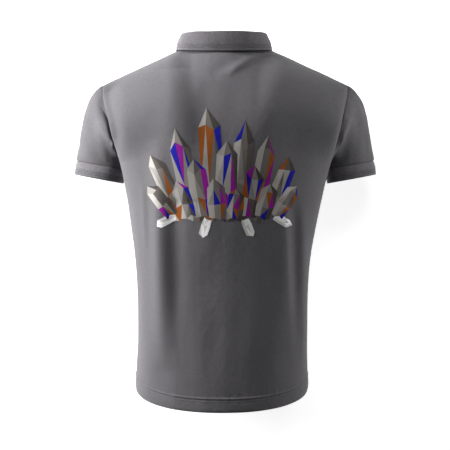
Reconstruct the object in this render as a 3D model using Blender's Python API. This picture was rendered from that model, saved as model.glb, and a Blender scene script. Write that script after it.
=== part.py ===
"""Short-sleeved polo shirt, filled out as if worn, lying on its front with the back up.

Metres. +Y runs from the hem to the neck, +Z up out of the back, and the wearer's left is at -X.
Lengths are counted along +Y from the bottom of the side seams, widths from the centre back line,
and heights from the floor. The last function sets the finished shirt on the origin.
"""

import math

import bmesh
import bpy
import numpy as np

CLOTH = 0.001
RIB = 0.0014
SEAM_GAP = 0.0003

SIDE_SEAM = 0.445
ARMHOLE = 0.155
SEAM_HEIGHT = 0.115
HEM_HALF = 0.171
WAIST_HALF = 0.167
CHEST_HALF = 0.197
BACK_HALF = 0.2340
SHOULDER_HALF = 0.2446
SHOULDER_RISE = 0.076
SWAY = 0.0066
HEM_FOLD = 0.025
HEM_DIP_BACK = 0.045
HEM_DIP_FRONT = 0.015
HEM_ROUND = 2.25

BACK_RISE_HEM = 0.086
BACK_RISE_WAIST = 0.084
BACK_RISE_CHEST = 0.099
BACK_RISE_TOP = 0.092
FRONT_PRESS = 0.007
BACK_ROUND = 2.3
FRONT_ROUND = 2.2
SHOULDER_ROUND_BACK = 0.70
SHOULDER_ROUND_FRONT = 0.15
ARMHOLE_BACK = 0.52
ARMHOLE_FRONT = 0.65
FRONT_ARMHOLE_CUT = 0.012

NECK_HALF = 0.079
NECK_BACK_HEIGHT = 0.036
NECK_FRONT_HEIGHT = 0.079
NECK_BACK_DROP = 0.009
NECK_FRONT_DROP = 0.086
FRONT_RISE_START = 0.34

STAND = 0.0370
STAND_SIDE = 0.0245
STAND_FRONT = 0.028
FALL = 0.0418
FALL_SIDE = 0.0305
FALL_FRONT = 0.062
FALL_FLARE = 0.0035
FALL_FLARE_SIDE = 0.0095
COLLAR_FOLD = 0.0027
COLLAR_OPENING = 0.008
COLLAR_SPREAD = 0.030

SLEEVE_DROP = 0.157
CUFF_OUT = 0.2525
CUFF_HEIGHT = 0.0475
CUFF_WIDE = 0.0505
CUFF_DEEP = 0.046
CUFF_SKEW = 0.014
CUFF_LENGTH = 0.028
ARM_TILT = math.radians(10.5)
LEAST_REACH = 0.035
SLEEVE_CROWN = 0.020

PLACKET_WIDTH = 0.032
PLACKET_LENGTH = 0.130
PLACKET_CLOTH = 0.0013
BUTTON_RADIUS = 0.0057
BUTTON_THICK = 0.0024
BUTTON_PITCH = 0.040
BUTTON_COUNT = 3
FIRST_BUTTON = 0.016
PLACKET_TOP_CUT = 0.2
TAPE_WIDTH = 0.010
TAPE_CLOTH = 0.0006
TAPE_LEAN = 0.12

NECK_COLUMNS = 5
SIDE_COLUMNS = 8
LOWER_ROWS = 13
ARMHOLE_ROWS = 9
SLEEVE_RINGS = 8
FOLD_POINTS = 6
FALL_ROWS = 3
BUTTON_SIDES = 20

SHOULDER_Y = SIDE_SEAM + ARMHOLE
NECK_Y = SHOULDER_Y + SHOULDER_RISE

# Levels of the widths and rises above, as shares of the side seam, and of the armhole for the back.
WAIST_LOW = 0.225
WAIST_HIGH = 0.34
CHEST_LEVEL = 0.88
BACK_LEVEL = 0.53
RISE_WAIST_LEVEL = 0.45
RISE_CHEST_LEVEL = 0.95
SWAY_LEVELS = (0.3, 0.75)

# Powers of the curves in which the panels round over: towards the armhole's ends, and towards
# the shoulder, where the neck's own height holds them up between the two shares of its width.
ARMHOLE_POWER = 1.35
BACK_FALL_POWER = 2.2
FRONT_FALL_POWER = 1.7
TOP_ROUND = 1.15
NECK_BLEND = (0.8, 1.5)
CORNER_POWER = 0.8
FOLD_POWER = 0.8
FOLD_EDGE_POWER = 4

# How the neck's dip widens and softens below the shoulder, and how the shoulder's slope does.
NECK_SPREAD = 1.2
NECK_SOFTENING = 4.0
NECK_SOFTENING_POWER = 0.7
SLOPE_SOFTENING = 0.045

# How far the sleeve keeps its first and last directions, and how it leaves the armhole: its lean
# towards the hem, its rise off the back and its fall at the shoulder, as shares of its way out.
SLEEVE_REACH = 0.9
SLEEVE_LEAN = 0.45
SLEEVE_PUFF = 0.55
SLEEVE_FALL = 0.15

# Soft folds of the back: place from the centre at the foot and at the head, half width, height,
# and where along the side seam they start and end.
FOLDS = (
    (-0.118, -0.133, 0.019, 0.0092, -0.03, 0.49),
    (-0.084, -0.096, 0.0135, -0.0028, -0.02, 0.44),
    (-0.042, -0.052, 0.0135, 0.0027, -0.04, 0.36),
    (-0.090, -0.100, 0.051, 0.0080, 0.37, 0.63),
    (0.128, 0.117, 0.014, 0.0034, 0.14, 0.40),
    (0.148, 0.139, 0.010, -0.0024, 0.09, 0.39),
    (0.160, 0.154, 0.011, 0.0030, 0.02, 0.37),
    (0.060, 0.072, 0.027, 0.0040, 0.48, 0.64),
)


def material(name, colour, roughness):
    """A plain finish of one colour."""
    made = bpy.data.materials.new(name)
    made.use_nodes = True
    shader = made.node_tree.nodes["Principled BSDF"]
    shader.inputs["Base Color"].default_value = (*colour, 1)
    shader.inputs["Roughness"].default_value = roughness
    shader.inputs["Metallic"].default_value = 0
    return made


def curve_through(places, values):
    """A smooth curve through a few values, level at both ends."""
    places, values = np.array(places), np.array(values)
    slopes = np.gradient(values, places)
    steps = np.diff(values) / np.diff(places)
    slopes[0] = slopes[-1] = 0
    for k in range(1, len(values) - 1):
        if steps[k - 1] * steps[k] <= 0:
            slopes[k] = 0

    def read(at):
        at = np.clip(at, places[0], places[-1])
        k = np.clip(np.searchsorted(places, at, side="right") - 1, 0, len(places) - 2)
        span = places[k + 1] - places[k]
        t = (at - places[k]) / span
        low = (1 + 2 * t) * (1 - t) ** 2 * values[k] + t * (1 - t) ** 2 * span * slopes[k]
        return low + t**2 * (3 - 2 * t) * values[k + 1] - t**2 * (1 - t) * span * slopes[k + 1]

    return read


half_width = curve_through(
    (
        0,
        WAIST_LOW * SIDE_SEAM,
        WAIST_HIGH * SIDE_SEAM,
        CHEST_LEVEL * SIDE_SEAM,
        SIDE_SEAM + BACK_LEVEL * ARMHOLE,
        SHOULDER_Y,
    ),
    (HEM_HALF, WAIST_HALF, WAIST_HALF, CHEST_HALF, BACK_HALF, SHOULDER_HALF),
)
back_rise = curve_through(
    (0, RISE_WAIST_LEVEL * SIDE_SEAM, RISE_CHEST_LEVEL * SIDE_SEAM, SHOULDER_Y),
    (BACK_RISE_HEM, BACK_RISE_WAIST, BACK_RISE_CHEST, BACK_RISE_TOP),
)


def smooth_step(low, high, at):
    t = np.clip((at - low) / (high - low), 0, 1)
    return t * t * (3 - 2 * t)


def round_profile(u, power):
    return (1 - np.abs(u) ** power).clip(0) ** (1 / power)


def columns():
    """Places across a panel from -1 to 1: even steps round the neck, then even steps of arc."""
    neck = NECK_HALF / SHOULDER_HALF
    inner = neck * np.sin(np.linspace(0, math.pi / 2, NECK_COLUMNS + 1))
    fine = 1 - (1 - neck) * np.linspace(1, 0, 400) ** 2
    height = 0.6 * round_profile(fine, BACK_ROUND)
    arc = np.concatenate([[0], np.cumsum(np.hypot(np.diff(fine), np.diff(height)))])
    outer = np.interp(np.linspace(0, arc[-1], SIDE_COLUMNS + 1), arc, fine)[1:]
    half = np.concatenate([inner, outer])
    return np.concatenate([-half[:0:-1], half])


def rows():
    """Places up a panel from 0 at the hem to 1 at the shoulder, and the row of the underarm."""
    hem = HEM_FOLD / SHOULDER_Y
    under = SIDE_SEAM / SHOULDER_Y
    low = np.concatenate([[0], np.linspace(hem, under, LOWER_ROWS)])
    high = under + (1 - under) * np.sin(np.linspace(0, math.pi / 2, ARMHOLE_ROWS + 1))[1:]
    return np.concatenate([low, high]), len(low) - 1


def folds(x, y):
    """Height that the soft folds add to the back."""
    total = np.zeros(np.broadcast(x, y).shape)
    for foot, head, width, height, low, high in FOLDS:
        t = np.clip((y - low) / (high - low), 0, 1)
        middle = foot + (head - foot) * t
        fade = np.sin(math.pi * t) ** FOLD_POWER
        total += height * fade * np.exp(-(((x - middle) / width) ** 2))
    return total


def body_surface(u, v, back):
    """Points of the back or front panel, from u across and v up the panel."""
    u, v = np.broadcast_arrays(u, v)
    side = 1 if back else -1
    y_side = v * SHOULDER_Y
    under = SIDE_SEAM / SHOULDER_Y
    s = np.clip((v - under) / (1 - under), 0, 1)
    width = half_width(y_side)
    if not back:
        width = width - FRONT_ARMHOLE_CUT * np.sin(math.pi * s) ** 2
    x = u * width

    across = np.abs(u) * SHOULDER_HALF
    below = 1 - s
    neck_reach = NECK_HALF * (1 + NECK_SPREAD * below)
    neck_power = 0.5 + NECK_SOFTENING * below**NECK_SOFTENING_POWER
    neck_arc = (1 - (across / neck_reach) ** 2).clip(0) ** neck_power
    slope = SHOULDER_RISE / (SHOULDER_HALF - NECK_HALF)
    past_neck = across - NECK_HALF
    top = NECK_Y - slope * (past_neck + np.sqrt(past_neck**2 + SLOPE_SOFTENING**2 * below)) / 2
    top = top - (NECK_BACK_DROP if back else NECK_FRONT_DROP) * neck_arc
    dip = HEM_DIP_BACK if back else HEM_DIP_FRONT
    hem = -dip * round_profile(u, HEM_ROUND)
    y = hem + (top - hem) * v

    arm = ARMHOLE_BACK if back else ARMHOLE_FRONT
    edge = arm * np.sin(math.pi * s) ** ARMHOLE_POWER
    across_form = edge + (1 - edge) * round_profile(u, BACK_ROUND if back else FRONT_ROUND)
    depth = back_rise(y_side) if back else SEAM_HEIGHT + FRONT_PRESS
    neck = (NECK_BACK_HEIGHT if back else NECK_FRONT_HEIGHT) / depth * neck_arc
    beyond = smooth_step(NECK_BLEND[0] * NECK_HALF, NECK_BLEND[1] * NECK_HALF, across)
    fall = s if back else np.clip((y_side - FRONT_RISE_START) / (SHOULDER_Y - FRONT_RISE_START), 0, 1)
    roundness = SHOULDER_ROUND_BACK if back else SHOULDER_ROUND_FRONT
    power = BACK_FALL_POWER if back else FRONT_FALL_POWER
    along_form = (1 - fall**power) ** (1 / (TOP_ROUND + roundness * beyond))
    up = neck + (1 - neck) * along_form
    z = SEAM_HEIGHT + side * (SEAM_GAP / 2 + depth * across_form * up)
    if back:
        z = z + folds(x, y) * round_profile(u, FOLD_EDGE_POWER)
    else:
        z = z.clip(0)
    low, high = SWAY_LEVELS
    x = x - SWAY * (1 - smooth_step(low * SHOULDER_Y, high * SHOULDER_Y, y_side))
    return np.stack([x, y, z], axis=-1)


def unit(vectors):
    return vectors / np.linalg.norm(vectors, axis=-1, keepdims=True)


def normals(grid, ring=False):
    """Unit normals of a grid of points, whose columns close on themselves if ring is set."""
    if ring:
        across = np.roll(grid, -1, axis=1) - np.roll(grid, 1, axis=1)
    else:
        across = np.gradient(grid, axis=1)
    return unit(np.cross(across, np.gradient(grid, axis=0)))


def shell(name, outer, inner, finish, ring=False):
    """One closed solid between two grids of points with the same layout."""
    count = outer.shape[0] * outer.shape[1]
    index = np.arange(count).reshape(outer.shape[:2])
    if ring:
        index = np.concatenate([index, index[:, :1]], axis=1)
    a, b, c, d = index[:-1, :-1], index[:-1, 1:], index[1:, 1:], index[1:, :-1]
    faces = [np.stack([a, b, c], -1), np.stack([a, c, d], -1)]
    faces += [face[..., ::-1] + count for face in faces]
    edges = [index[0], index[-1][::-1]]
    if not ring:
        edges += [index[:, -1], index[::-1, 0]]
    for edge in edges:
        first, second = edge[:-1], edge[1:]
        faces.append(np.stack([second, first, first + count], -1))
        faces.append(np.stack([second, first + count, second + count], -1))
    triangles = np.concatenate([face.reshape(-1, 3) for face in faces])
    points = np.concatenate([outer.reshape(-1, 3), inner.reshape(-1, 3)])
    mesh = bpy.data.meshes.new(name)
    mesh.from_pydata(points.tolist(), [], triangles.tolist())
    return place(name, mesh, finish)


def place(name, mesh, finish):
    """Adds the mesh to the scene as one smooth object with its faces pointing out."""
    work = bmesh.new()
    work.from_mesh(mesh)
    bmesh.ops.recalc_face_normals(work, faces=work.faces)
    if work.calc_volume(signed=True) < 0:
        bmesh.ops.reverse_faces(work, faces=work.faces)
    work.to_mesh(mesh)
    work.free()
    mesh.shade_smooth()
    mesh.set_sharp_from_angle(angle=math.radians(50))
    mesh.materials.append(finish)
    made = bpy.data.objects.new(name, mesh)
    bpy.context.scene.collection.objects.link(made)
    return made


def armhole_ring(side):
    """The seam round one armhole: over the back from shoulder to underarm, then up the front."""
    v, under = rows()
    back = body_surface(np.array(side), v[under:][::-1], True)
    front = body_surface(np.array(side), v[under:], False)
    ring = np.concatenate([back, front[1:-1]])
    ring[0, 2] = ring[len(back) - 1, 2] = SEAM_HEIGHT
    return ring


def panel_grid(back):
    """Outer points of a panel and the directions into the shirt from them."""
    v, _ = rows()
    outer = body_surface(columns()[None, :], v[:, None], back)
    inward = normals(outer)
    inward[inward[..., 2] * (1 if back else -1) > 0] *= -1
    return outer, inward


def armhole_mitre(side):
    """Directions that halve the angle between body and sleeve, round one armhole seam."""
    _, under = rows()
    column = 0 if side < 0 else -1
    back, front = (panel_grid(face)[1][under:, column] for face in (True, False))
    body = np.concatenate([back[::-1], front[1:-1]])
    body[0] = (0, -1, 0)
    body[len(back) - 1] = (-side, 0, 0)
    ring = armhole_ring(side)
    arm = unit(np.cross(np.roll(ring, -1, axis=0) - np.roll(ring, 1, axis=0), leaving(side, ring)))
    arm *= np.sign((arm * (ring.mean(axis=0) - ring)).sum(axis=1, keepdims=True))
    mitre = body + arm
    mitre[[0, len(back) - 1], 2] = 0
    return unit(mitre)


def leaving(side, ring):
    """Directions in which the sleeve sets off from the armhole: out, up, and down at the shoulder."""
    height = (ring[:, 1:2] - SIDE_SEAM) / ARMHOLE
    over_back = (np.arange(len(ring)) < ARMHOLE_ROWS)[:, None]
    rise = SLEEVE_PUFF * np.sin(math.pi * height.clip(0, 1)) * over_back - SLEEVE_FALL * height**2
    return unit(np.array([side, 0, 0]) + height * np.array([0, -SLEEVE_LEAN, 0]) + rise * np.array([0, 0, 1]))


def body_panel(name, back, finish):
    """Back or front panel, with a doubled hem, its edges squared to the seams that they meet."""
    u = columns()
    v, under = rows()
    outer, inward = panel_grid(back)
    count = len(v) - under
    for column, side in ((0, -1), (-1, 1)):
        inward[:under, column] = (-side, 0, 0)
        arm = armhole_mitre(side)
        inward[under:, column] = arm[:count][::-1] if back else np.roll(arm, 1 - count, axis=0)[:count]
    neck = np.abs(u) <= NECK_HALF / SHOULDER_HALF + 1e-6
    inward[-1, 1:-1][~neck[1:-1]] = (0, -1, 0)
    inward[-1, neck] = -neck_frames(outer[-1, neck])[0]
    thick = np.where(v <= HEM_FOLD / SHOULDER_Y + 1e-9, 2 * CLOTH, CLOTH)
    inner = outer + inward * thick[:, None, None]
    half_gap = SEAM_GAP / 2 if back else -SEAM_GAP / 2
    own_side = (SEAM_HEIGHT + half_gap, None) if back else (None, SEAM_HEIGHT + half_gap)
    inner[..., 2] = inner[..., 2].clip(*own_side)
    return shell(name, outer, inner, finish)


def neck_frames(points):
    """Directions out of the neck opening across its seam, and along the neck."""
    half_deep = np.where(points[:, 2] > SEAM_HEIGHT, NECK_BACK_HEIGHT, NECK_FRONT_HEIGHT)
    x, z = points[:, 0], points[:, 2] - SEAM_HEIGHT
    away = unit(np.stack([x / NECK_HALF**2, 0 * x, z / half_deep**2], -1))
    return away, np.broadcast_to(np.array([0.0, 1.0, 0.0]), away.shape)


def neck_seam():
    """The neck seam from the right end of the front opening round the back to the left end."""
    limit = NECK_HALF / SHOULDER_HALF + 1e-6
    u = columns()
    u = u[np.abs(u) <= limit]
    back = body_surface(u[::-1], np.array(1.0), True)
    back[[0, -1], 2] = SEAM_HEIGHT
    half = u[u > -1e-6]
    front = body_surface(half, np.array(1.0), False)
    front[0] += (front[1] - front[0]) * COLLAR_OPENING / 2 / (front[1, 0] - front[0, 0])
    mirrored = front[::-1] * (-1, 1, 1)
    return np.concatenate([front[:-1], back, mirrored[1:]])


def collar(finish):
    """Knitted collar: a stand from the neck seam, turned over into a fall with two points."""
    seam = neck_seam()
    away, up = neck_frames(seam)
    z = seam[:, 2] - SEAM_HEIGHT
    to_back = (z / NECK_BACK_HEIGHT).clip(0, 1) ** CORNER_POWER
    to_front = (-z / NECK_FRONT_HEIGHT).clip(0, 1) ** 2
    stand = STAND_SIDE + (STAND - STAND_SIDE) * to_back + (STAND_FRONT - STAND_SIDE) * to_front
    fall = FALL_SIDE + (FALL - FALL_SIDE) * to_back + (FALL_FRONT - FALL_SIDE) * to_front
    flare = FALL_FLARE_SIDE + (FALL_FLARE - FALL_FLARE_SIDE) * to_back
    turns = np.linspace(math.pi, 0, FOLD_POINTS)
    out = [0 * z, 0 * z] + [COLLAR_FOLD * (1 + math.cos(t)) + 0 * z for t in turns]
    rise = [0 * z, stand / 2] + [stand - COLLAR_FOLD * (1 - math.sin(t)) for t in turns]
    spread = [0 * z for _ in out]
    for share in np.linspace(1 / FALL_ROWS, 1, FALL_ROWS):
        out.append(2 * COLLAR_FOLD + flare * (1 - (1 - share) ** 2))
        rise.append(stand - COLLAR_FOLD - (fall - COLLAR_FOLD) * share)
        spread.append(COLLAR_SPREAD * share * to_front**2 * np.sign(seam[:, 0]))
    out, rise, spread = np.stack(out, 1), np.stack(rise, 1) + 2 * SEAM_GAP, np.stack(spread, 1)
    line = np.stack([out - RIB / 2, rise], -1)
    along = unit(np.gradient(line, axis=1))
    across = np.stack([-along[..., 1], along[..., 0]], -1) * RIB / 2
    across[:, 0] = (-RIB / 2, 0)
    sides = []
    for shifted in (line + across, line - across):
        point = seam[:, None] + shifted[..., :1] * away[:, None] + shifted[..., 1:] * up[:, None]
        point[..., 0] += spread
        sides.append(point)
    return shell("collar", sides[0], sides[1], finish)


def cuff_ring(side, along, inset=0.0):
    """A ring round the arm, at a distance along it from the cuff seam, in the armhole's order."""
    count = 2 * ARMHOLE_ROWS
    turn = np.linspace(0, 2 * math.pi, count, endpoint=False)
    out = (CUFF_WIDE - inset) * np.cos(turn) - CUFF_SKEW * np.sin(turn).clip(0) ** 2
    height = (CUFF_DEEP - inset) * np.sin(turn)
    down = SHOULDER_Y - SLEEVE_DROP - along * math.cos(ARM_TILT) + out * math.sin(ARM_TILT)
    x = side * (CUFF_OUT + along * math.sin(ARM_TILT) + out * math.cos(ARM_TILT))
    return np.stack([x, down, CUFF_HEIGHT + height], -1)


def sleeve(name, side, finish):
    """Short sleeve, from the armhole round the shoulder and down the arm to the cuff seam."""
    start = armhole_ring(side) + np.array([side * SEAM_GAP * 1.5, 0, 0])
    end = cuff_ring(side, 0)
    reach = np.linalg.norm(end - start, axis=1, keepdims=True) * SLEEVE_REACH
    leave = leaving(side, start) * reach.clip(LEAST_REACH)
    arrive = np.array([side * math.sin(ARM_TILT), -math.cos(ARM_TILT), 0]) * reach
    t = np.linspace(0, 1, SLEEVE_RINGS + 1)[:, None, None]
    outer = (1 + 2 * t) * (1 - t) ** 2 * start + t * (1 - t) ** 2 * leave
    outer = outer + t**2 * (3 - 2 * t) * end - t**2 * (1 - t) * arrive
    over_back = np.sin(math.pi * (np.arange(2 * ARMHOLE_ROWS) / ARMHOLE_ROWS).clip(0, 1)) ** 2
    outer[..., 2] += SLEEVE_CROWN * np.sin(math.pi * t[..., 0]) * over_back
    inward = normals(outer, ring=True)
    middle = outer.mean(axis=1, keepdims=True)
    if (inward * (middle - outer)).sum() < 0:
        inward = -inward
    inward[0] = armhole_mitre(side)
    inner = outer + inward * CLOTH
    inner[-1] = cuff_ring(side, 0, CLOTH)
    return shell(name, outer, inner, finish, ring=True)


def cuff(name, side, finish):
    """Ribbed band at the sleeve's end."""
    places = SEAM_GAP + np.linspace(0, CUFF_LENGTH, 3)
    outer = np.stack([cuff_ring(side, place) for place in places])
    inner = np.stack([cuff_ring(side, place, RIB) for place in places])
    return shell(name, outer, inner, finish, ring=True)


def placket(name, inside, finish):
    """Strip down the front opening: one outside the panel, the other inside it."""
    v, _ = rows()
    middle = body_surface(np.array(0.0), v, False)
    low = middle[-1, 1] - PLACKET_LENGTH
    above = middle[:, 1] > low + PLACKET_WIDTH / 8
    v = np.concatenate([[np.interp(low, middle[:, 1], v)], v[above]])
    u = np.array([-1, 0, 1]) * PLACKET_WIDTH / 2 / half_width(v * SHOULDER_Y)[:, None]
    near = body_surface(u, v[:, None], False)
    away = normals(near)
    away[away[..., 2] > 0] *= -1
    away[:, :, 0] = 0
    away = unit(away)
    if inside:
        near, away = near - away * (CLOTH + 4 * SEAM_GAP), -away
    first = near + away * SEAM_GAP
    first[-1] += (first[-2] - first[-1]) * PLACKET_TOP_CUT
    return shell(name, first, first + away * PLACKET_CLOTH, finish)


def button(name, down, finish):
    """Turned button on the placket, with a raised rim, at a distance down from the neck seam."""
    v, _ = rows()
    middle = body_surface(np.array(0.0), v, False)
    y = middle[-1, 1] - down
    z = np.interp(y, middle[:, 1], middle[:, 2])
    drop = z - np.interp(y - BUTTON_RADIUS, middle[:, 1], middle[:, 2])
    tilt = math.atan2(drop, BUTTON_RADIUS)
    profile = (
        (0.0, 0.0), (0.9, 0.0), (1.0, 0.3), (1.0, 0.75), (0.9, 1.0), (0.72, 1.0), (0.6, 0.75), (0.0, 0.75)
    )
    turns = np.linspace(0, 2 * math.pi, BUTTON_SIDES, endpoint=False)
    work = bmesh.new()
    rings = []
    for radius, height in profile:
        r, h = radius * BUTTON_RADIUS, height * BUTTON_THICK
        if radius:
            rings.append([work.verts.new((r * math.cos(a), r * math.sin(a), -h)) for a in turns])
        else:
            rings.append([work.verts.new((0, 0, -h))])
    for first, second in zip(rings, rings[1:]):
        for k in range(BUTTON_SIDES):
            corners = [first[k % len(first)], first[(k + 1) % len(first)]]
            corners += [second[(k + 1) % len(second)], second[k % len(second)]]
            work.faces.new(list(dict.fromkeys(corners)))
    mesh = bpy.data.meshes.new(name)
    work.to_mesh(mesh)
    work.free()
    made = place(name, mesh, finish)
    stack = SEAM_GAP + PLACKET_CLOTH + 2 * SEAM_GAP
    made.location = (0, y + stack * math.sin(tilt), z - stack * math.cos(tilt))
    made.rotation_euler = (tilt, 0, 0)
    return made


def neck_tape(finish):
    """Tape over the seam inside the back of the neck, from shoulder to shoulder."""
    limit = NECK_HALF / SHOULDER_HALF - 1e-6
    u = columns()
    u = u[np.abs(u) < limit]
    seam = body_surface(u, np.array(1.0), True)
    away, up = neck_frames(seam)
    clear = CLOTH + 2 * SEAM_GAP
    reaches = np.array([-TAPE_WIDTH / 2, TAPE_WIDTH / 2])[:, None, None]
    first = seam - away * (clear + reaches * TAPE_LEAN) + up * reaches
    return shell("neck_tape", first, first - away * TAPE_CLOTH, finish)


def set_on_origin():
    """Moves the shirt so that the middle of its box's underside is the origin."""
    bpy.context.view_layer.update()
    pieces = list(bpy.context.scene.collection.objects)
    corners = np.array([piece.matrix_world @ v.co for piece in pieces for v in piece.data.vertices])
    low, high = corners.min(axis=0), corners.max(axis=0)
    shift = ((low[0] + high[0]) / 2, (low[1] + high[1]) / 2, low[2])
    for piece in pieces:
        piece.location = [place - offset for place, offset in zip(piece.location, shift)]


def build():
    for old in list(bpy.data.objects):
        bpy.data.objects.remove(old)
    pique = material("grey_pique", (0.105, 0.100, 0.108), 0.9)
    rib = material("grey_rib", (0.100, 0.096, 0.103), 0.92)
    tape = material("grey_tape", (0.085, 0.082, 0.088), 0.8)
    plastic = material("grey_button", (0.090, 0.088, 0.095), 0.35)
    body_panel("back_panel", True, pique)
    body_panel("front_panel", False, pique)
    for word, side in (("left", -1), ("right", 1)):
        sleeve(word + "_sleeve", side, pique)
        cuff(word + "_cuff", side, rib)
    collar(rib)
    neck_tape(tape)
    placket("placket_top", False, pique)
    placket("placket_under", True, pique)
    for k in range(BUTTON_COUNT):
        button(f"button_{k + 1}", FIRST_BUTTON + k * BUTTON_PITCH, plastic)
    set_on_origin()


build()
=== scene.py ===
"""Grey pique polo shirt, filled out as if worn and lying on its front: the finish of every piece.

Metres, in the part's own frame. +Y runs from the hem to the neck, +Z up out of the back, and the
wearer's left is at -X, which is also the left of the picture.
"""

import math

import bmesh
import bpy
import numpy as np
from mathutils import Matrix, Vector, geometry
from mathutils.bvhtree import BVHTree


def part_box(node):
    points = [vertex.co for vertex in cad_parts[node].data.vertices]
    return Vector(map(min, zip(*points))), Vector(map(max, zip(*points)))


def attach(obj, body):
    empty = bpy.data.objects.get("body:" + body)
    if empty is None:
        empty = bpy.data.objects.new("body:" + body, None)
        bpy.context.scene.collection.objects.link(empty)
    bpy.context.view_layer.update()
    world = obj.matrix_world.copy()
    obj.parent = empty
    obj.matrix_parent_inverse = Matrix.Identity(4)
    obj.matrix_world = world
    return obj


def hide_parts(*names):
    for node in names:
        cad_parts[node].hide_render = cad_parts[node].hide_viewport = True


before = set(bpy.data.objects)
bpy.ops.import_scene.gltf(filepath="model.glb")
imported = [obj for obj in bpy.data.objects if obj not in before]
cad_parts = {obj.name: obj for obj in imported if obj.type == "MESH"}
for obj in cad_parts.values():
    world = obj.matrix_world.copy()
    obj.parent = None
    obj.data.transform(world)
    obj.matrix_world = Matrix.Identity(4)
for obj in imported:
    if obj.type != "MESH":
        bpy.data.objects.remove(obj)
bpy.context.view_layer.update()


# Camera. It looks straight down on the lying shirt, as the photo looks at its back, from far
# enough away that the sleeves and the back keep nearly the same scale.

VIEW_WIDTH = 0.900
VIEW_PLANE = 0.115
VIEW_MIDDLE = (-0.0006, -0.0088)
CAMERA_HEIGHT = 3.4
SENSOR_WIDTH = 36
VIEW_NEAR = 0.1
VIEW_FAR = 20


def add_object(name, data):
    made = bpy.data.objects.new(name, data)
    bpy.context.scene.collection.objects.link(made)
    return made


camera = add_object("camera", bpy.data.cameras.new("camera"))
camera.location = (*VIEW_MIDDLE, CAMERA_HEIGHT)
camera.data.sensor_width = SENSOR_WIDTH
camera.data.lens = SENSOR_WIDTH * (CAMERA_HEIGHT - VIEW_PLANE) / VIEW_WIDTH
camera.data.clip_start = VIEW_NEAR
camera.data.clip_end = VIEW_FAR
bpy.context.scene.camera = camera


# Back panel. One piece of cotton pique, cut from the side seams to the shoulder seams and rounded
# by the filled-out form. Its lower edge is turned up once and sewn down with two needles.

CLOTH = 0.001
SEAM_GAP = 0.0003
SEAM_MEET = 0.00005
SIDE_SEAM = 0.445
ARMHOLE = 0.155
HEM_HALF = 0.171
WAIST_HALF = 0.167
CHEST_HALF = 0.197
BACK_HALF = 0.2303
SHOULDER_RISE = 0.076
SWAY = 0.0066
SWAY_LEVELS = (0.3, 0.75)
HEM_FOLD = 0.025
HEM_DIP_BACK = 0.045
HEM_DIP_FRONT = 0.015
HEM_ROUND = 2.25
WAIST_LOW = 0.225
WAIST_HIGH = 0.34
CHEST_LEVEL = 0.88
BACK_LEVEL = 0.53
BACK_RISE = (0.086, 0.084, 0.099, 0.092)
RISE_WAIST_LEVEL = 0.45
RISE_CHEST_LEVEL = 0.95
FRONT_PRESS = 0.007
FRONT_RISE_START = 0.34
BACK_ROUND = (2.1, 2.45, 1.85, 2.2)
FRONT_ROUND = 2.2
SHOULDER_ROUND_BACK = 0.70
SHOULDER_ROUND_FRONT = 0.15
ARMHOLE_BACK = 0.38
ARMHOLE_FRONT = 0.65
ARMHOLE_POWER = 1.6
FRONT_ARMHOLE_CUT = 0.012
BACK_FALL_POWER = 2.2
FRONT_FALL_POWER = 1.7
TOP_ROUND = 1.15
NECK_HALF = 0.079
NECK_BACK_HEIGHT = 0.036
NECK_FRONT_HEIGHT = 0.079
NECK_BACK_DROP = 0.009
NECK_FRONT_DROP = 0.086
NECK_BLEND = (0.8, 1.5)
NECK_SPREAD = 1.2
NECK_SOFTENING = 4.0
NECK_SOFTENING_POWER = 0.7
SLOPE_SOFTENING = 0.045

SHOULDER_HALF = float(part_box("back_panel")[1][0])
SEAM_HEIGHT = float(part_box("back_panel")[0][2]) - SEAM_GAP / 2
FOOT_Y = float(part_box("back_panel")[0][1]) + HEM_DIP_BACK
SHOULDER_Y = SIDE_SEAM + ARMHOLE
NECK_Y = SHOULDER_Y + SHOULDER_RISE
UNDERARM = SIDE_SEAM / SHOULDER_Y
RISE_PLACES = (0, RISE_WAIST_LEVEL * SIDE_SEAM, RISE_CHEST_LEVEL * SIDE_SEAM, SHOULDER_Y)

SEAM_PUFF = 0.0007
SEAM_ROLL = 0.0022
SEAM_THIN = 0.3
SEAM_THIN_REACH = 0.004
STITCH_GAP = 0.0055
HEM_LINES = (HEM_FOLD - 0.001, HEM_FOLD - 0.001 - STITCH_GAP)
HEM_DENTS = (0.00096, 0.0004)
HEM_DENT_HALF = 0.0013
HEM_LEDGE = 0.0014
HEM_LEDGE_PLACE = 0.0020
HEM_LEDGE_HALF = 0.0018
HEM_END = (-0.0006, 0.0012)
HEM_PUFF = 0.0009
HEM_PUFF_REACH = 0.003
HEM_PUCKER = 0.00022
HEM_PUCKER_HALF = 0.012
HEM_PUCKER_WAVES = (0.007, 0.018)
HEM_SEED = 11
BACK_UNEVEN = 0.0004
BACK_UNEVEN_STRETCH = 3.0
BACK_WAVES = (0.035, 0.09)
BACK_SEEDS = (3, 5)
FINE_UNEVEN = 0.00012
FINE_WAVES = (0.008, 0.020, 24)
BACK_ROWS = (28, 108, 88)
BACK_COLUMNS = 216
HEM_ROWS_REACH = 1.35
EDGE_FINE = 0.006
EDGE_COLUMNS = 5
PATH_STEPS = 4001
LEAST_LENGTH = 1e-9
SHARP_EDGE = math.radians(60)


def eased(t, start, leave, end, arrive):
    """A smooth path from start to end, which sets out along leave and comes in along arrive."""
    low = (1 + 2 * t) * (1 - t) ** 2 * start + t * (1 - t) ** 2 * leave
    return low + t**2 * (3 - 2 * t) * end - t**2 * (1 - t) * arrive


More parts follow.
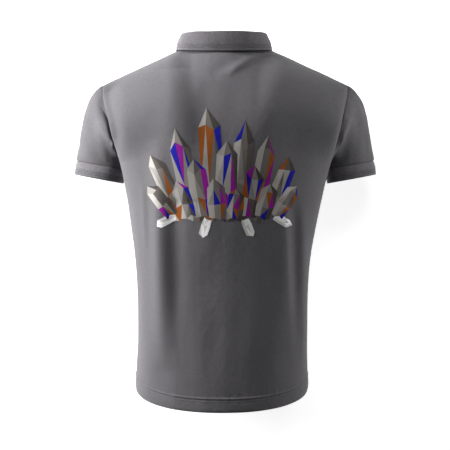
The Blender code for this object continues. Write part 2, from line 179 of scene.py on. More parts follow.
def curve_through(places, values):
    """A smooth curve through a few values, level at both ends."""
    places, values = np.array(places), np.array(values)
    slopes = np.gradient(values, places)
    steps = np.diff(values) / np.diff(places)
    slopes[0] = slopes[-1] = 0
    for k in range(1, len(values) - 1):
        if steps[k - 1] * steps[k] <= 0:
            slopes[k] = 0

    def read(at):
        at = np.clip(at, places[0], places[-1])
        k = np.clip(np.searchsorted(places, at, side="right") - 1, 0, len(places) - 2)
        span = places[k + 1] - places[k]
        t = (at - places[k]) / span
        return eased(t, values[k], span * slopes[k], values[k + 1], span * slopes[k + 1])

    return read


half_width = curve_through(
    (
        0,
        WAIST_LOW * SIDE_SEAM,
        WAIST_HIGH * SIDE_SEAM,
        CHEST_LEVEL * SIDE_SEAM,
        SIDE_SEAM + BACK_LEVEL * ARMHOLE,
        SHOULDER_Y,
    ),
    (HEM_HALF, WAIST_HALF, WAIST_HALF, CHEST_HALF, BACK_HALF, SHOULDER_HALF),
)
back_rise = curve_through(RISE_PLACES, BACK_RISE)
back_round = curve_through(RISE_PLACES, BACK_ROUND)


def smooth_step(low, high, at):
    t = np.clip((at - low) / (high - low), 0, 1)
    return t * t * (3 - 2 * t)


def within(at, rise, fall):
    """A share that rises from 0 to 1 over one stretch and falls back over another."""
    return smooth_step(*rise, at) * (1 - smooth_step(*fall, at))


def bell(distance, width):
    """1 at no distance, dying away over a width."""
    return np.exp(-((distance / width) ** 2))


def round_profile(u, power):
    """A rounded height, 1 in the middle and 0 at both ends."""
    return (1 - np.abs(u) ** power).clip(0) ** (1 / power)


def armhole_share(v):
    """How far up the armhole a place on the panel is: 0 to the underarm, 1 at the shoulder."""
    return np.clip((v - UNDERARM) / (1 - UNDERARM), 0, 1)


def armhole_rows(count):
    """Places up the armhole, finer towards the shoulder."""
    return UNDERARM + (1 - UNDERARM) * np.sin(np.linspace(0, math.pi / 2, count + 1))


def body_surface(u, v, back):
    """Points of the back or front panel, from u across and v up the panel."""
    u, v = np.broadcast_arrays(u, v)
    side = 1 if back else -1
    y_side = v * SHOULDER_Y
    s = armhole_share(v)
    width = half_width(y_side)
    if not back:
        width = width - FRONT_ARMHOLE_CUT * np.sin(math.pi * s) ** 2
    low, high = SWAY_LEVELS
    x = u * width - SWAY * (1 - smooth_step(low * SHOULDER_Y, high * SHOULDER_Y, y_side))

    across = np.abs(u) * SHOULDER_HALF
    below = 1 - s
    neck_reach = NECK_HALF * (1 + NECK_SPREAD * below)
    softer = NECK_SOFTENING * below**NECK_SOFTENING_POWER
    neck_arc = (1 - (across / neck_reach) ** 2).clip(0) ** (0.5 + softer)
    slope = SHOULDER_RISE / (SHOULDER_HALF - NECK_HALF)
    past_neck = across - NECK_HALF
    top = NECK_Y - slope * (past_neck + np.sqrt(past_neck**2 + SLOPE_SOFTENING**2 * below)) / 2
    top = top - (NECK_BACK_DROP if back else NECK_FRONT_DROP) * neck_arc
    dip = HEM_DIP_BACK if back else HEM_DIP_FRONT
    hem = -dip * round_profile(u, HEM_ROUND)
    y = hem + (top - hem) * v

    edge = (ARMHOLE_BACK if back else ARMHOLE_FRONT) * np.sin(math.pi * s) ** ARMHOLE_POWER
    across_form = edge + (1 - edge) * round_profile(u, back_round(y_side) if back else FRONT_ROUND)
    depth = back_rise(y_side) if back else SEAM_HEIGHT + FRONT_PRESS
    neck = (NECK_BACK_HEIGHT if back else NECK_FRONT_HEIGHT) / depth * neck_arc
    beyond = smooth_step(NECK_BLEND[0] * NECK_HALF, NECK_BLEND[1] * NECK_HALF, across)
    fall = s if back else np.clip((y_side - FRONT_RISE_START) / (SHOULDER_Y - FRONT_RISE_START), 0, 1)
    roundness = SHOULDER_ROUND_BACK if back else SHOULDER_ROUND_FRONT
    power = BACK_FALL_POWER if back else FRONT_FALL_POWER
    along_form = (1 - fall**power) ** (1 / (TOP_ROUND + roundness * beyond))
    up = neck + (1 - neck) * along_form
    z = SEAM_HEIGHT + side * (depth * across_form * up - SEAM_MEET)
    return np.stack([x, y + FOOT_Y, z if back else z.clip(0)], axis=-1)


def even_places(path, count, fine, fine_count):
    """Places from 0 to 1 that cut a path into even steps, with finer steps near both ends."""
    dense = np.linspace(0, 1, PATH_STEPS)
    points = path(dense)
    steps = np.linalg.norm(np.diff(points, axis=0), axis=1)
    arc = np.concatenate([[0], np.cumsum(steps)])
    low = np.linspace(0, fine, fine_count + 1)[:-1]
    middle = np.linspace(fine, arc[-1] - fine, count - 2 * fine_count + 1)
    return np.interp(np.concatenate([low, middle, arc[-1] - low[::-1]]), arc, dense)


def unit(vectors):
    return vectors / np.linalg.norm(vectors, axis=-1, keepdims=True).clip(LEAST_LENGTH)


def grid_normals(grid, ring=False):
    """Unit normals of a grid of points, whose columns close on themselves if ring is set."""
    if ring:
        across = np.roll(grid, -1, axis=1) - np.roll(grid, 1, axis=1)
    else:
        across = np.gradient(grid, axis=1)
    return unit(np.cross(across, np.gradient(grid, axis=0)))


def lengths_along(grid, axis):
    """Distance along the cloth from the first row or column."""
    steps = np.linalg.norm(np.diff(grid, axis=axis), axis=-1)
    start = np.zeros_like(np.take(steps, [0], axis=axis))
    return np.concatenate([start, np.cumsum(steps, axis=axis)], axis=axis)


def soft_noise(x, y, seed, shortest, longest, count=14, highest=1.6):
    """Gentle unevenness between -1 and 1, from waves of several lengths and directions."""
    draw = np.random.default_rng(seed)
    total = np.zeros(np.broadcast(x, y).shape)
    for _ in range(count):
        turn = draw.uniform(0, math.pi)
        length = draw.uniform(shortest, longest)
        phase = draw.uniform(0, 2 * math.pi)
        total += np.sin((x * math.cos(turn) + y * math.sin(turn)) * 2 * math.pi / length + phase)
    return total / math.sqrt(count) / highest


def fine_relief(x, y, seed):
    """The finest unevenness that every panel of the knit shows."""
    return FINE_UNEVEN * soft_noise(x, y, seed, *FINE_WAVES)


def crease(x, y, foot, head, height, left, right, fade_power=0.7):
    """Height of a fold from foot to head, which dies away over its own width on either side."""
    run = np.subtract(head, foot)
    length = math.hypot(*run)
    along = ((x - foot[0]) * run[0] + (y - foot[1]) * run[1]) / length**2
    off = ((x - foot[0]) * run[1] - (y - foot[1]) * run[0]) / length
    fade = np.sin(math.pi * along.clip(0, 1)) ** fade_power
    return height * fade * bell(off, np.where(off < 0, left, right))


# Each fold of the back: foot, head, height, and its width to the left and to the right.
BACK_FOLDS = (
    ((-0.122, -0.292), (-0.131, 0.158), 0.0080, 0.018, 0.0180),
    ((-0.092, -0.272), (-0.097, 0.108), -0.0017, 0.012, 0.0150),
    ((-0.155, -0.072), (-0.163, 0.078), 0.0016, 0.006, 0.0070),
    ((-0.092, 0.038), (-0.100, 0.298), 0.0098, 0.050, 0.0500),
    ((0.122, -0.192), (0.114, 0.068), 0.0040, 0.020, 0.0090),
    ((0.142, -0.242), (0.136, 0.058), -0.0024, 0.010, 0.0090),
    ((0.154, -0.312), (0.150, 0.038), 0.0046, 0.009, 0.0130),
    ((0.070, 0.078), (0.074, 0.308), 0.0060, 0.044, 0.0450),
    ((-0.050, 0.128), (-0.044, 0.268), -0.0022, 0.022, 0.0220),
    ((0.002, 0.285), (0.068, 0.332), 0.0030, 0.010, 0.0065),
    ((-0.030, 0.290), (0.012, 0.310), -0.0020, 0.012, 0.0120),
)

# The rolled edge and the wide hollow behind it, beside the left and the right armhole.
ARMHOLE_ROLLS = ((0.0022, 0.0085), (0.0, -0.0016))
ROLL_STARTS = (0.06, 0.40)
ROLL_ENDS = (0.88, 1.0)
ROLL_RISE = 0.0016
ROLL_RUN = 0.0045
HOLLOW_RISE = 0.014
HOLLOW_RUN = 0.032


def back_relief(x, y):
    """Height of the folds and of the cloth's unevenness over the back."""
    total = sum(crease(x, y, *fold) for fold in BACK_FOLDS)
    broad, fine = BACK_SEEDS
    total = total + BACK_UNEVEN * soft_noise(x, y / BACK_UNEVEN_STRETCH, broad, *BACK_WAVES)
    return total + fine_relief(x, y, fine)


def mesh_of(points, faces):
    """A smooth mesh of points and the faces between them."""
    mesh = bpy.data.meshes.new("mesh")
    mesh.from_pydata(points.tolist(), [], faces)
    mesh.shade_smooth()
    return mesh


def cloth_mesh(outer, inner, ring=False, from_end=False):
    """One sheet of cloth with a front and a back, whose UVs are lengths of cloth in metres."""
    rows, columns = outer.shape[:2]
    index = np.arange(rows * columns).reshape(rows, columns)
    across = lengths_along(outer if not ring else np.concatenate([outer, outer[:, :1]], axis=1), 1)
    across = across - across[:, across.shape[1] // 2][:, None]
    along = lengths_along(outer, 0)
    if from_end:
        along = along - along[-1:]
    if ring:
        index = np.concatenate([index, index[:, :1]], axis=1)
        along = np.concatenate([along, along[:, :1]], axis=1)
    flat = np.stack([across, along], axis=-1)

    def quads(grid):
        return np.stack([grid[:-1, :-1], grid[:-1, 1:], grid[1:, 1:], grid[1:, :-1]], axis=2)

    front = quads(index).reshape(-1, 4)
    front_uv = quads(flat).reshape(-1, 4, 2)
    faces, uvs = [front, front[:, ::-1] + rows * columns], [front_uv, front_uv[:, ::-1]]
    edges = [(index[0], flat[0]), (index[-1][::-1], flat[-1][::-1])]
    if not ring:
        edges += [(index[:, -1], flat[:, -1]), (index[::-1, 0], flat[::-1, 0])]
    for edge, edge_uv in edges:
        under = edge + rows * columns
        faces.append(np.stack([edge[1:], edge[:-1], under[:-1], under[1:]], -1))
        uvs.append(np.stack([edge_uv[1:], edge_uv[:-1], edge_uv[:-1], edge_uv[1:]], axis=1))
    faces, uvs = np.concatenate(faces), np.concatenate(uvs)
    mesh = mesh_of(np.concatenate([outer.reshape(-1, 3), inner.reshape(-1, 3)]), faces.tolist())
    mesh.uv_layers.new(name="cloth").data.foreach_set("uv", np.ascontiguousarray(uvs.reshape(-1)))
    mesh.set_sharp_from_angle(angle=SHARP_EDGE)
    return mesh


def piece(name, mesh, finish, slot, *nodes):
    """Adds a piece that rides on the shirt, in place of the solids that it stands for."""
    made = add_object(name, mesh)
    mesh.name = name
    mesh.materials.append(finish)
    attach(made, "root")
    if nodes:
        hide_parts(*nodes)
    return made


def panel_rows(hem_rows, lower_rows, upper_rows):
    """Places up a panel: fine over the hem, even to the underarm, and finer towards the shoulder."""
    hem = HEM_ROWS_REACH * HEM_FOLD / SHOULDER_Y
    low = np.linspace(0, hem, hem_rows + 1)
    middle = np.linspace(hem, UNDERARM, lower_rows + 1)[1:]
    return np.concatenate([low, middle, armhole_rows(upper_rows)[1:]])


def panel_columns(count, back):
    """Places across a panel, even along its arc at the chest, and finest beside the side seams."""
    chest = np.array(CHEST_LEVEL * UNDERARM)
    places = even_places(lambda t: body_surface(2 * t - 1, chest, back), count, EDGE_FINE, EDGE_COLUMNS)
    return 2 * places - 1


def armhole_roll(distance, share, ridge, hollow):
    """A rolled edge beside the armhole seam, with a hollow behind it, from underarm to shoulder."""
    rolled = ridge * (1 - bell(distance, ROLL_RISE)) * bell(distance, ROLL_RUN)
    sunk = hollow * (1 - bell(distance, HOLLOW_RISE)) * bell(distance, HOLLOW_RUN)
    return within(share, ROLL_STARTS, ROLL_ENDS) * (rolled - sunk)


def seam_hold(first, second):
    """How free the cloth is of the seams at two distances: 0 on a seam, 1 away from both."""
    return (1 - bell(first, SEAM_ROLL)) * (1 - bell(second, SEAM_ROLL))


def seam_thickness(distance):
    """The cloth's thickness, pressed thin along a seam."""
    return CLOTH * (SEAM_THIN + (1 - SEAM_THIN) * smooth_step(0, SEAM_THIN_REACH, distance))


def dressed_panel(u, v, back, relief, rolls=()):
    """Outer and inner points of a panel, with its seams, hem and folds."""
    base = body_surface(u[None, :], v[:, None], back)
    out = grid_normals(base)
    out[out[..., 2] * (1 if back else -1) < 0] *= -1
    out[:, 0] = out[:, 1]
    out[:, -1] = out[:, -2]
    across = lengths_along(base, 1)
    side = np.minimum(across, across[:, -1:] - across)
    up = lengths_along(base, 0)
    shoulder = up[-1:] - up
    past_hem = up - HEM_FOLD
    band = 1 - smooth_step(*HEM_END, past_hem)
    puff = HEM_PUFF * band * (1 - bell(up, HEM_PUFF_REACH))
    pucker = HEM_PUCKER * soft_noise(across, 0 * up, HEM_SEED, *HEM_PUCKER_WAVES)
    pucker = pucker * bell(past_hem, HEM_PUCKER_HALF)
    dents = sum(depth * bell(up - line, HEM_DENT_HALF) for line, depth in zip(HEM_LINES, HEM_DENTS))
    ledge = HEM_LEDGE * bell(past_hem - HEM_LEDGE_PLACE, HEM_LEDGE_HALF)
    height = SEAM_PUFF + relief(base[..., 0], base[..., 1]) + puff + pucker - dents + ledge
    share = armhole_share(v)[:, None]
    for distance, roll in zip((across, across[:, -1:] - across), rolls):
        height = height + armhole_roll(distance, share, *roll)
    outer = base + out * (height * seam_hold(side, shoulder))[..., None]
    if not back:
        outer[..., 2] = outer[..., 2].clip(0)

    thick = (1 + band) * seam_thickness(np.minimum(side, shoulder))
    inner = outer - out * thick[..., None]
    limit = SEAM_HEIGHT - (SEAM_MEET if back else -SEAM_MEET)
    inner[..., 2] = inner[..., 2].clip(limit, None) if back else inner[..., 2].clip(None, limit)
    return outer, inner, out


# Blender's numbers for the mix node's colour sockets, and for the coordinate node's object place.
MIX_LOW = 6
MIX_HIGH = 7
MIX_OUT = 2
OBJECT_PLACE = 3


class Wire:
    """A shader socket that Python's own operators work on."""

    def __init__(self, socket):
        self.socket = socket

    def node(self, kind, settings=(), values=(), output=0):
        """A new node in the same tree: first its settings, then the values or links of its sockets."""
        tree = self.socket.id_data
        made = tree.nodes.new(kind)
        for name, value in dict(settings).items():
            setattr(made, name, value)
        for name, value in dict(values).items():
            if isinstance(value, Wire):
                tree.links.new(value.socket, made.inputs[name])
            else:
                made.inputs[name].default_value = value
        return Wire(made.outputs[output])

    def math(self, operation, *values):
        return self.node("ShaderNodeMath", {"operation": operation}, enumerate(values))

    def above_zero(self):
        return self.math("MAXIMUM", self, 0.0)

    def __add__(self, other):
        return self.math("ADD", self, other)

    def __radd__(self, other):
        return self.math("ADD", other, self)

    def __sub__(self, other):
        return self.math("SUBTRACT", self, other)

    def __rsub__(self, other):
        return self.math("SUBTRACT", other, self)

    def __mul__(self, other):
        return self.math("MULTIPLY", self, other)

    def sine(self):
        return self.math("SINE", self)

    def size(self):
        return self.math("ABSOLUTE", self)

    def mix(self, low, high):
        """A colour between two colours, with this value as the share of the second."""
        colours = {0: self, MIX_LOW: low, MIX_HIGH: high}
        return self.node("ShaderNodeMix", {"data_type": "RGBA"}, colours, MIX_OUT)

    def noise(self, scale, detail):
        """Noise whose place is this vector."""
        return self.node("ShaderNodeTexNoise", {}, {"Vector": self, "Scale": scale, "Detail": detail})

    def part(self, axis):
        return self.node("ShaderNodeSeparateXYZ", {}, {0: self}, axis)


class Finish:
    """A material, with its place on the cloth and its spot in space, in metres, to work from."""

    def __init__(self, name, colour, **constants):
        self.colour = colour
        self.material = bpy.data.materials.new(name)
        self.material.use_nodes = True
        self.material.diffuse_color = (*colour, 1)
        self.shader = self.material.node_tree.nodes["Principled BSDF"]
        self.shader.inputs["Base Color"].default_value = (*colour, 1)
        for socket, value in constants.items():
            self.shader.inputs[socket.replace("_", " ")].default_value = value
        surface = Wire(self.shader.outputs[0])
        self.place = surface.node("ShaderNodeUVMap", {"uv_map": "cloth"})
        self.spot = surface.node("ShaderNodeTexCoord", {}, {}, OBJECT_PLACE)

    def feed(self, socket, wire):
        self.material.node_tree.links.new(wire.socket, self.shader.inputs[socket])

    def emboss(self, height, depth):
        """Lets a height in shares of a depth in metres turn the surface's normal."""
        values = {"Strength": 1.0, "Distance": depth, "Height": height}
        self.feed("Normal", height.node("ShaderNodeBump", {}, values))

    def shade(self, factor):
        """The finish's own colour, lighter or darker by a factor."""
        return (*(channel * factor for channel in self.colour), 1)

    def shades(self, tone, darkest, lightest):
        """The finish's own colour, from a darker to a lighter shade of it as the tone rises."""
        return tone.mix(self.shade(darkest), self.shade(lightest))

    def diamonds(self):
        """The knit's rows of small raised diamonds, with pits between them."""
        across = self.place.part(0) * (math.pi / PIQUE_WALE)
        along = self.place.part(1) * (math.pi / PIQUE_COURSE)
        return (across + along).sine().size() * (across - along).sine().size()


PIQUE_WALE = 0.0016
PIQUE_COURSE = 0.0013
PIQUE_DEPTH = 0.00022
PIQUE_TONE_AND_PIT_SHADE = (0.35, 0.20, 0.50, 0.10)
PIQUE_TONE_SHIFT = -0.075
PIQUE_SHADES = (0.62, 1.40)
PIT_ROUGHNESS = 0.94
DIAMOND_POLISH = 0.10
YARN_RELIEF = 0.45
YARN_NOISE = (2600.0, 2.0)
CLOUD_NOISE = (22.0, 3.0)
PIQUE_MOTTLE = (330.0, 3.0)
COTTON = {"Sheen_Weight": 0.12, "Sheen_Roughness": 0.45, "Specular_IOR_Level": 0.3}
GREY = (0.108, 0.103, 0.111)


def blend(weights, wires):
    """A weighted sum of shader values."""
    return sum(wire * weight for wire, weight in zip(wires, weights))


def pique_finish(name, colour):
    """Pique knit: rows of small raised diamonds with painted shade in the pits between them, and uneven
    yarn.
    """
    made = Finish(name, colour, Roughness=0.88, **COTTON)
    diamond = made.diamonds()
    yarn = made.place.noise(*YARN_NOISE)
    cloud = made.spot.noise(*CLOUD_NOISE)
    mottle = made.spot.noise(*PIQUE_MOTTLE)
    # Painted shade: the diamond term darkens the colour in the pits between the diamonds; yarn, mottle and
    # cloud are the knit's own uneven tone.
    tone = blend(PIQUE_TONE_AND_PIT_SHADE, (diamond, yarn, mottle, cloud)) + PIQUE_TONE_SHIFT
    made.feed("Base Color", made.shades(tone, *PIQUE_SHADES))
    made.feed("Roughness", PIT_ROUGHNESS - diamond * DIAMOND_POLISH)
    made.emboss(diamond + yarn * YARN_RELIEF, PIQUE_DEPTH)
    return made.material


pique = pique_finish("grey_pique", GREY)

back_v = panel_rows(*BACK_ROWS)
back_u = panel_columns(BACK_COLUMNS, True)
back_outer, back_inner, back_out = dressed_panel(back_u, back_v, True, back_relief, ARMHOLE_ROLLS)
back_cloth = cloth_mesh(back_outer, back_inner)
back_panel = piece("back_panel_cloth", back_cloth, pique, "pique", "back_panel")


# Hem stitching. Two rows of straight stitches in polyester thread run 5.5 mm apart at the top of
# the turned-up hem, and every stitch sinks into the cloth at both of its ends.

STITCH_PITCH = 0.0031
THREAD_RADIUS = 0.00028
STITCH_SIDES = 6
LINE_MARGIN = 4
THREAD_GREY = (0.125, 0.120, 0.130)
THREAD_NOISE = (3000.0, 1.0)
THREAD_SHADES = (0.8, 1.25)
THREAD_RELIEF = 0.00005

# The rings of one stitch: their places along it, and their girths and lifts in thread radii.
STITCH_STATIONS = np.array([0.10, 0.26, 0.74, 0.90])
STITCH_GIRTHS = np.array([0.45, 1.0, 1.0, 0.45])
STITCH_LIFTS = np.array([-0.2, 0.45, 0.45, -0.2])


def tubes_mesh(rings):
    """Closed tubes of thread, from the points of each tube's rings."""
    index = np.arange(rings[..., 0].size).reshape(rings.shape[:3])
    index = np.concatenate([index, index[..., :1]], axis=2)
    sides = np.stack([index[:, :-1, :-1], index[:, :-1, 1:], index[:, 1:, 1:], index[:, 1:, :-1]], -1)
    faces = sides.reshape(-1, 4).tolist() + index[:, 0, -2::-1].tolist() + index[:, -1, :-1].tolist()
    return mesh_of(rings.reshape(-1, 3), faces)


def full_turn(count):
    return np.linspace(0, 2 * math.pi, count, endpoint=False)


def across_ring(first, second):
    """Directions round a thread, from two directions across it."""
    turn = full_turn(STITCH_SIDES)[:, None]
    return np.cos(turn) * first[..., None, :] + np.sin(turn) * second[..., None, :]


def read_along(marks, arc, line):
    """The points or directions of a line, at distances along it."""
    return np.stack([np.interp(marks, arc, line[:, k]) for k in range(3)], -1)


def stitch_mesh(lines):
    """Short thread loops along lines, each given by its points and its directions out of the cloth."""
    rings = []
    for points, out in lines:
        arc = lengths_along(points[None], 1)[0]
        count = int(arc[-1] // STITCH_PITCH)
        marks = (np.arange(count)[:, None] + STITCH_STATIONS) * STITCH_PITCH
        middle, normal = read_along(marks, arc, points), unit(read_along(marks, arc, out))
        ahead = unit(middle[:, -1:] - middle[:, :1])
        aside = unit(np.cross(ahead, normal))
        centre = middle + normal * (STITCH_LIFTS * THREAD_RADIUS)[:, None]
        girths = (STITCH_GIRTHS * THREAD_RADIUS)[:, None, None]
        rings.append(centre[:, :, None] + across_ring(aside, normal) * girths)
    return tubes_mesh(np.concatenate(rings))


def hem_stitches(name, outer, out):
    """Both rows of stitches on one panel's hem."""
    up = lengths_along(outer, 0)
    columns = range(LINE_MARGIN, outer.shape[1] - LINE_MARGIN)

    def across(grid, distance):
        return np.array([read_along(distance, up[:, k], grid[:, k]) for k in columns])

    lines = [(across(outer, distance), unit(across(out, distance))) for distance in HEM_LINES]
    return piece(name, stitch_mesh(lines), thread, "pique")


def thread_finish(name, colour):
    """Spun polyester thread, whose plies show as fine ridges."""
    made = Finish(name, colour, Roughness=0.55, Sheen_Weight=0.1, Specular_IOR_Level=0.4)
    grain = made.spot.noise(*THREAD_NOISE)
    made.feed("Base Color", made.shades(grain, *THREAD_SHADES))
    made.emboss(grain, THREAD_RELIEF)
    return made.material


thread = thread_finish("grey_thread", THREAD_GREY)
hem_thread_back = hem_stitches("back_hem_stitches", back_outer, back_out)


# Front panel. The second piece of pique, cut like the back and scooped out at the neck. The shirt
# lies on it, so its middle is pressed flat against the floor.

FRONT_UNEVEN = 0.0016
FRONT_UNEVEN_STRETCH = 4.0
FRONT_WAVES = (0.04, 0.11)
FRONT_SEEDS = (21, 23)
FRONT_ROWS = (24, 84, 62)
FRONT_COLUMNS = 184


def front_relief(x, y):
    """The front's own unevenness: soft folds that run up its sides."""
    broad, fine = FRONT_SEEDS
    total = FRONT_UNEVEN * soft_noise(x, y / FRONT_UNEVEN_STRETCH, broad, *FRONT_WAVES)
    return total + fine_relief(x, y, fine)


front_v = panel_rows(*FRONT_ROWS)
front_u = panel_columns(FRONT_COLUMNS, False)
front_outer, front_inner, front_out = dressed_panel(front_u, front_v, False, front_relief)
front_cloth = cloth_mesh(front_outer, front_inner)
front_panel = piece("front_panel_cloth", front_cloth, pique, "pique", "front_panel")
hem_thread_front = hem_stitches("front_hem_stitches", front_outer, front_out)


# Sleeves. Each is one piece of pique, sewn into the armhole all round and to its cuff at the end.
# The seams hold its edges down, and the cloth between them swells out and folds under the arm.

SLEEVE_DROP = 0.157
CUFF_OUT = 0.2525
CUFF_HEIGHT = 0.0475
CUFF_WIDE = 0.0510
CUFF_DEEP = 0.046
CUFF_SKEW = 0.014
CUFF_LENGTH = 0.028
ARM_TILT = math.radians(10.5)
LEAST_REACH = 0.035
SLEEVE_REACH = 0.9
SLEEVE_LEAN = 0.45
SLEEVE_PUFF = 0.10
SLEEVE_FALL = 0.5
TUCK_POWER = 4
SLEEVE_CROWN = 0.014
SLEEVE_HALF_RING = 84
SLEEVE_RINGS = 96
CROWN_STARTS = (0.05, 0.65)
CROWN_ENDS = (0.7, 1.0)
UPPER_SIDE = (-0.1, 0.4)
RECESS_STARTS = (0.28, 0.60)
RECESS_ENDS = (0.80, 1.0)
LEFT_RECESS = 0.012
RIGHT_RECESS = 0.0
RECESS_PLACE = 0.004
RECESS_REACH = 0.023
SLEEVE_UNEVEN = 0.0009
SLEEVE_WAVES = (0.03, 0.09)
SLEEVE_SEEDS = (31, 33)
SLEEVE_CLEAR = 0.0012

# Each fold of the sleeves: foot, head, height, and its width to the left and to the right.
LEFT_SLEEVE_FOLDS = (
    ((-0.233, 0.188), (-0.250, 0.228), -0.0030, 0.005, 0.003),
    ((-0.238, 0.118), (-0.258, 0.198), 0.0018, 0.010, 0.008),
    ((-0.214, 0.138), (-0.233, 0.228), -0.0050, 0.012, 0.010),
)
RIGHT_SLEEVE_FOLDS = (
    ((0.258, 0.206), (0.276, 0.224), 0.0014, 0.006, 0.005),
    ((0.232, 0.108), (0.246, 0.198), -0.0012, 0.012, 0.010),
)


def armhole_ring(side):
    """The seam round one armhole: over the back from shoulder to underarm, then up the front."""
    v = armhole_rows(SLEEVE_HALF_RING)
    back = body_surface(np.array(side), v[::-1], True)
    front = body_surface(np.array(side), v, False)
    ring = np.concatenate([back, front[1:-1]])
    ring[0, 2] = ring[SLEEVE_HALF_RING, 2] = SEAM_HEIGHT
    return ring


def cuff_ring(side, along):
    """A ring round the arm, at a distance along it from the cuff seam, in the armhole's order."""
    turn = full_turn(2 * SLEEVE_HALF_RING)
    out = CUFF_WIDE * np.cos(turn) - CUFF_SKEW * np.sin(turn).clip(0) ** 2
    height = CUFF_DEEP * np.sin(turn)
    down = SHOULDER_Y - SLEEVE_DROP - along * math.cos(ARM_TILT) + out * math.sin(ARM_TILT)
    x = side * (CUFF_OUT + along * math.sin(ARM_TILT) + out * math.cos(ARM_TILT))
    return np.stack([x, down + FOOT_Y, CUFF_HEIGHT + height], -1)


def sleeve_surface(side):
    """Points of the sleeve, whose rows run from the armhole to the cuff."""
    start = armhole_ring(side)
    end = cuff_ring(side, 0)
    reach = np.linalg.norm(end - start, axis=1, keepdims=True) * SLEEVE_REACH
    height = (start[:, 1:2] - FOOT_Y - SIDE_SEAM) / ARMHOLE
    on_back = (np.arange(len(start)) < SLEEVE_HALF_RING)[:, None]
    upward = SLEEVE_PUFF * np.sin(math.pi * height.clip(0, 1)) * on_back
    tuck = (1 - height.clip(0, 1)) ** TUCK_POWER
    leave = (1 - tuck) * np.array([side, 0, 0]) + height * np.array([0, -SLEEVE_LEAN, 0])
    leave = leave + (upward - tuck - SLEEVE_FALL * height**2) * np.array([0, 0, 1])
    leave = unit(leave) * reach.clip(LEAST_REACH)
    arrive = np.array([side * math.sin(ARM_TILT), -math.cos(ARM_TILT), 0]) * reach
    t = np.linspace(0, 1, SLEEVE_RINGS + 1)[:, None, None]
    outer = eased(t, start, leave, end, arrive)
    ring_share = np.arange(2 * SLEEVE_HALF_RING) / SLEEVE_HALF_RING
    over_back = within(ring_share, CROWN_STARTS, CROWN_ENDS)
    outer[..., 2] += SLEEVE_CROWN * np.sin(math.pi * t[..., 0]) ** 2 * over_back
    return outer


def outward(grid):
    """Directions out of a ring-shaped grid."""
    out = grid_normals(grid, ring=True)
    middle = grid.mean(axis=1, keepdims=True)
    return out if (out * (grid - middle)).sum() > 0 else -out


def sleeve(name, side, sleeve_folds, recess, node):
    """One sleeve, with its folds, held at both seams and sunk behind the armhole by a recess."""
    base = sleeve_surface(side)
    out = outward(base)
    along = lengths_along(base, 0)
    left_over = along[-1:] - along
    upper = smooth_step(*UPPER_SIDE, out[..., 2])
    folded = sum(crease(base[..., 0], base[..., 1], *fold) for fold in sleeve_folds)
    around = lengths_along(base, 1)
    ring_share = np.arange(base.shape[1]) / SLEEVE_HALF_RING
    window = within(ring_share, RECESS_STARTS, RECESS_ENDS)
    hollow = -recess * window * bell(along - RECESS_PLACE, RECESS_REACH)
    broad, fine = SLEEVE_SEEDS
    uneven = SLEEVE_UNEVEN * soft_noise(around, along, broad + side, *SLEEVE_WAVES)
    height = SEAM_PUFF + hollow + folded * upper + uneven + fine_relief(around, along, fine + side)
    outer = base + out * (height * seam_hold(along, left_over))[..., None]
    outer[..., 2] = outer[..., 2].clip(SLEEVE_CLEAR, None)
    inner = outer - out * seam_thickness(np.minimum(along, left_over))[..., None]
    return piece(name, cloth_mesh(outer, inner, ring=True), pique, "pique", node)


sleeves = [
    sleeve("left_sleeve_cloth", -1, LEFT_SLEEVE_FOLDS, LEFT_RECESS, "left_sleeve"),
    sleeve("right_sleeve_cloth", 1, RIGHT_SLEEVE_FOLDS, RIGHT_RECESS, "right_sleeve"),
]


# Cuffs. Flat-knitted bands of one-by-one cotton rib, linked to the sleeves' ends. Their free edge is
# knitted, not hemmed, and three courses beside it stand out as fine grooves, darkened by painted shade.

RIB = 0.0014
RIB_WALE = 0.0022
RIB_DEPTH = 0.00030
STRIPE_FIRST = 0.0045
STRIPE_STEP = 0.0034
STRIPE_HALF = 0.0009
STRIPE_DEPTH = 0.0008
RIB_GREY = (0.115, 0.109, 0.118)
CUFF_ROWS = 40
CUFF_BULGE = 0.0010
CUFF_PULL = 0.0016
CUFF_PULL_REACH = 0.002
CUFF_UNEVEN = 0.0006
CUFF_WAVES = (0.03, 0.08)
CUFF_SEED = 41
EDGE_THIN = 0.0004
EDGE_THIN_REACH = 0.0008
RIB_LOOP = 0.0012
RIB_LOOP_LEAN = 1.2
RIB_RELIEF = (0.40, 0.12, 0.35)
RIB_TONE_AND_WALE_SHADE = (0.14, 0.22, 0.90, 0.15)
RIB_TONE_SHIFT = -0.13
RIB_SHADES = (0.52, 1.48)
RIB_MOTTLE = (230.0, 3.0)
GROOVE_SHADE_SHARE = 0.75
GROOVE_PAINTED_SHADE = 0.30
STRIPE_COUNT = 3
STRIPES = [STRIPE_FIRST + k * STRIPE_STEP for k in range(STRIPE_COUNT)]


def stripes(distance):
    """Three fine grooves beside a knitted edge, at distances from it."""
    return -STRIPE_DEPTH * sum(bell(distance - line, STRIPE_HALF) for line in STRIPES)


def edge_thinning(distance):
    """How far a knitted edge draws in, at distances from it."""
    return EDGE_THIN * bell(distance, EDGE_THIN_REACH)


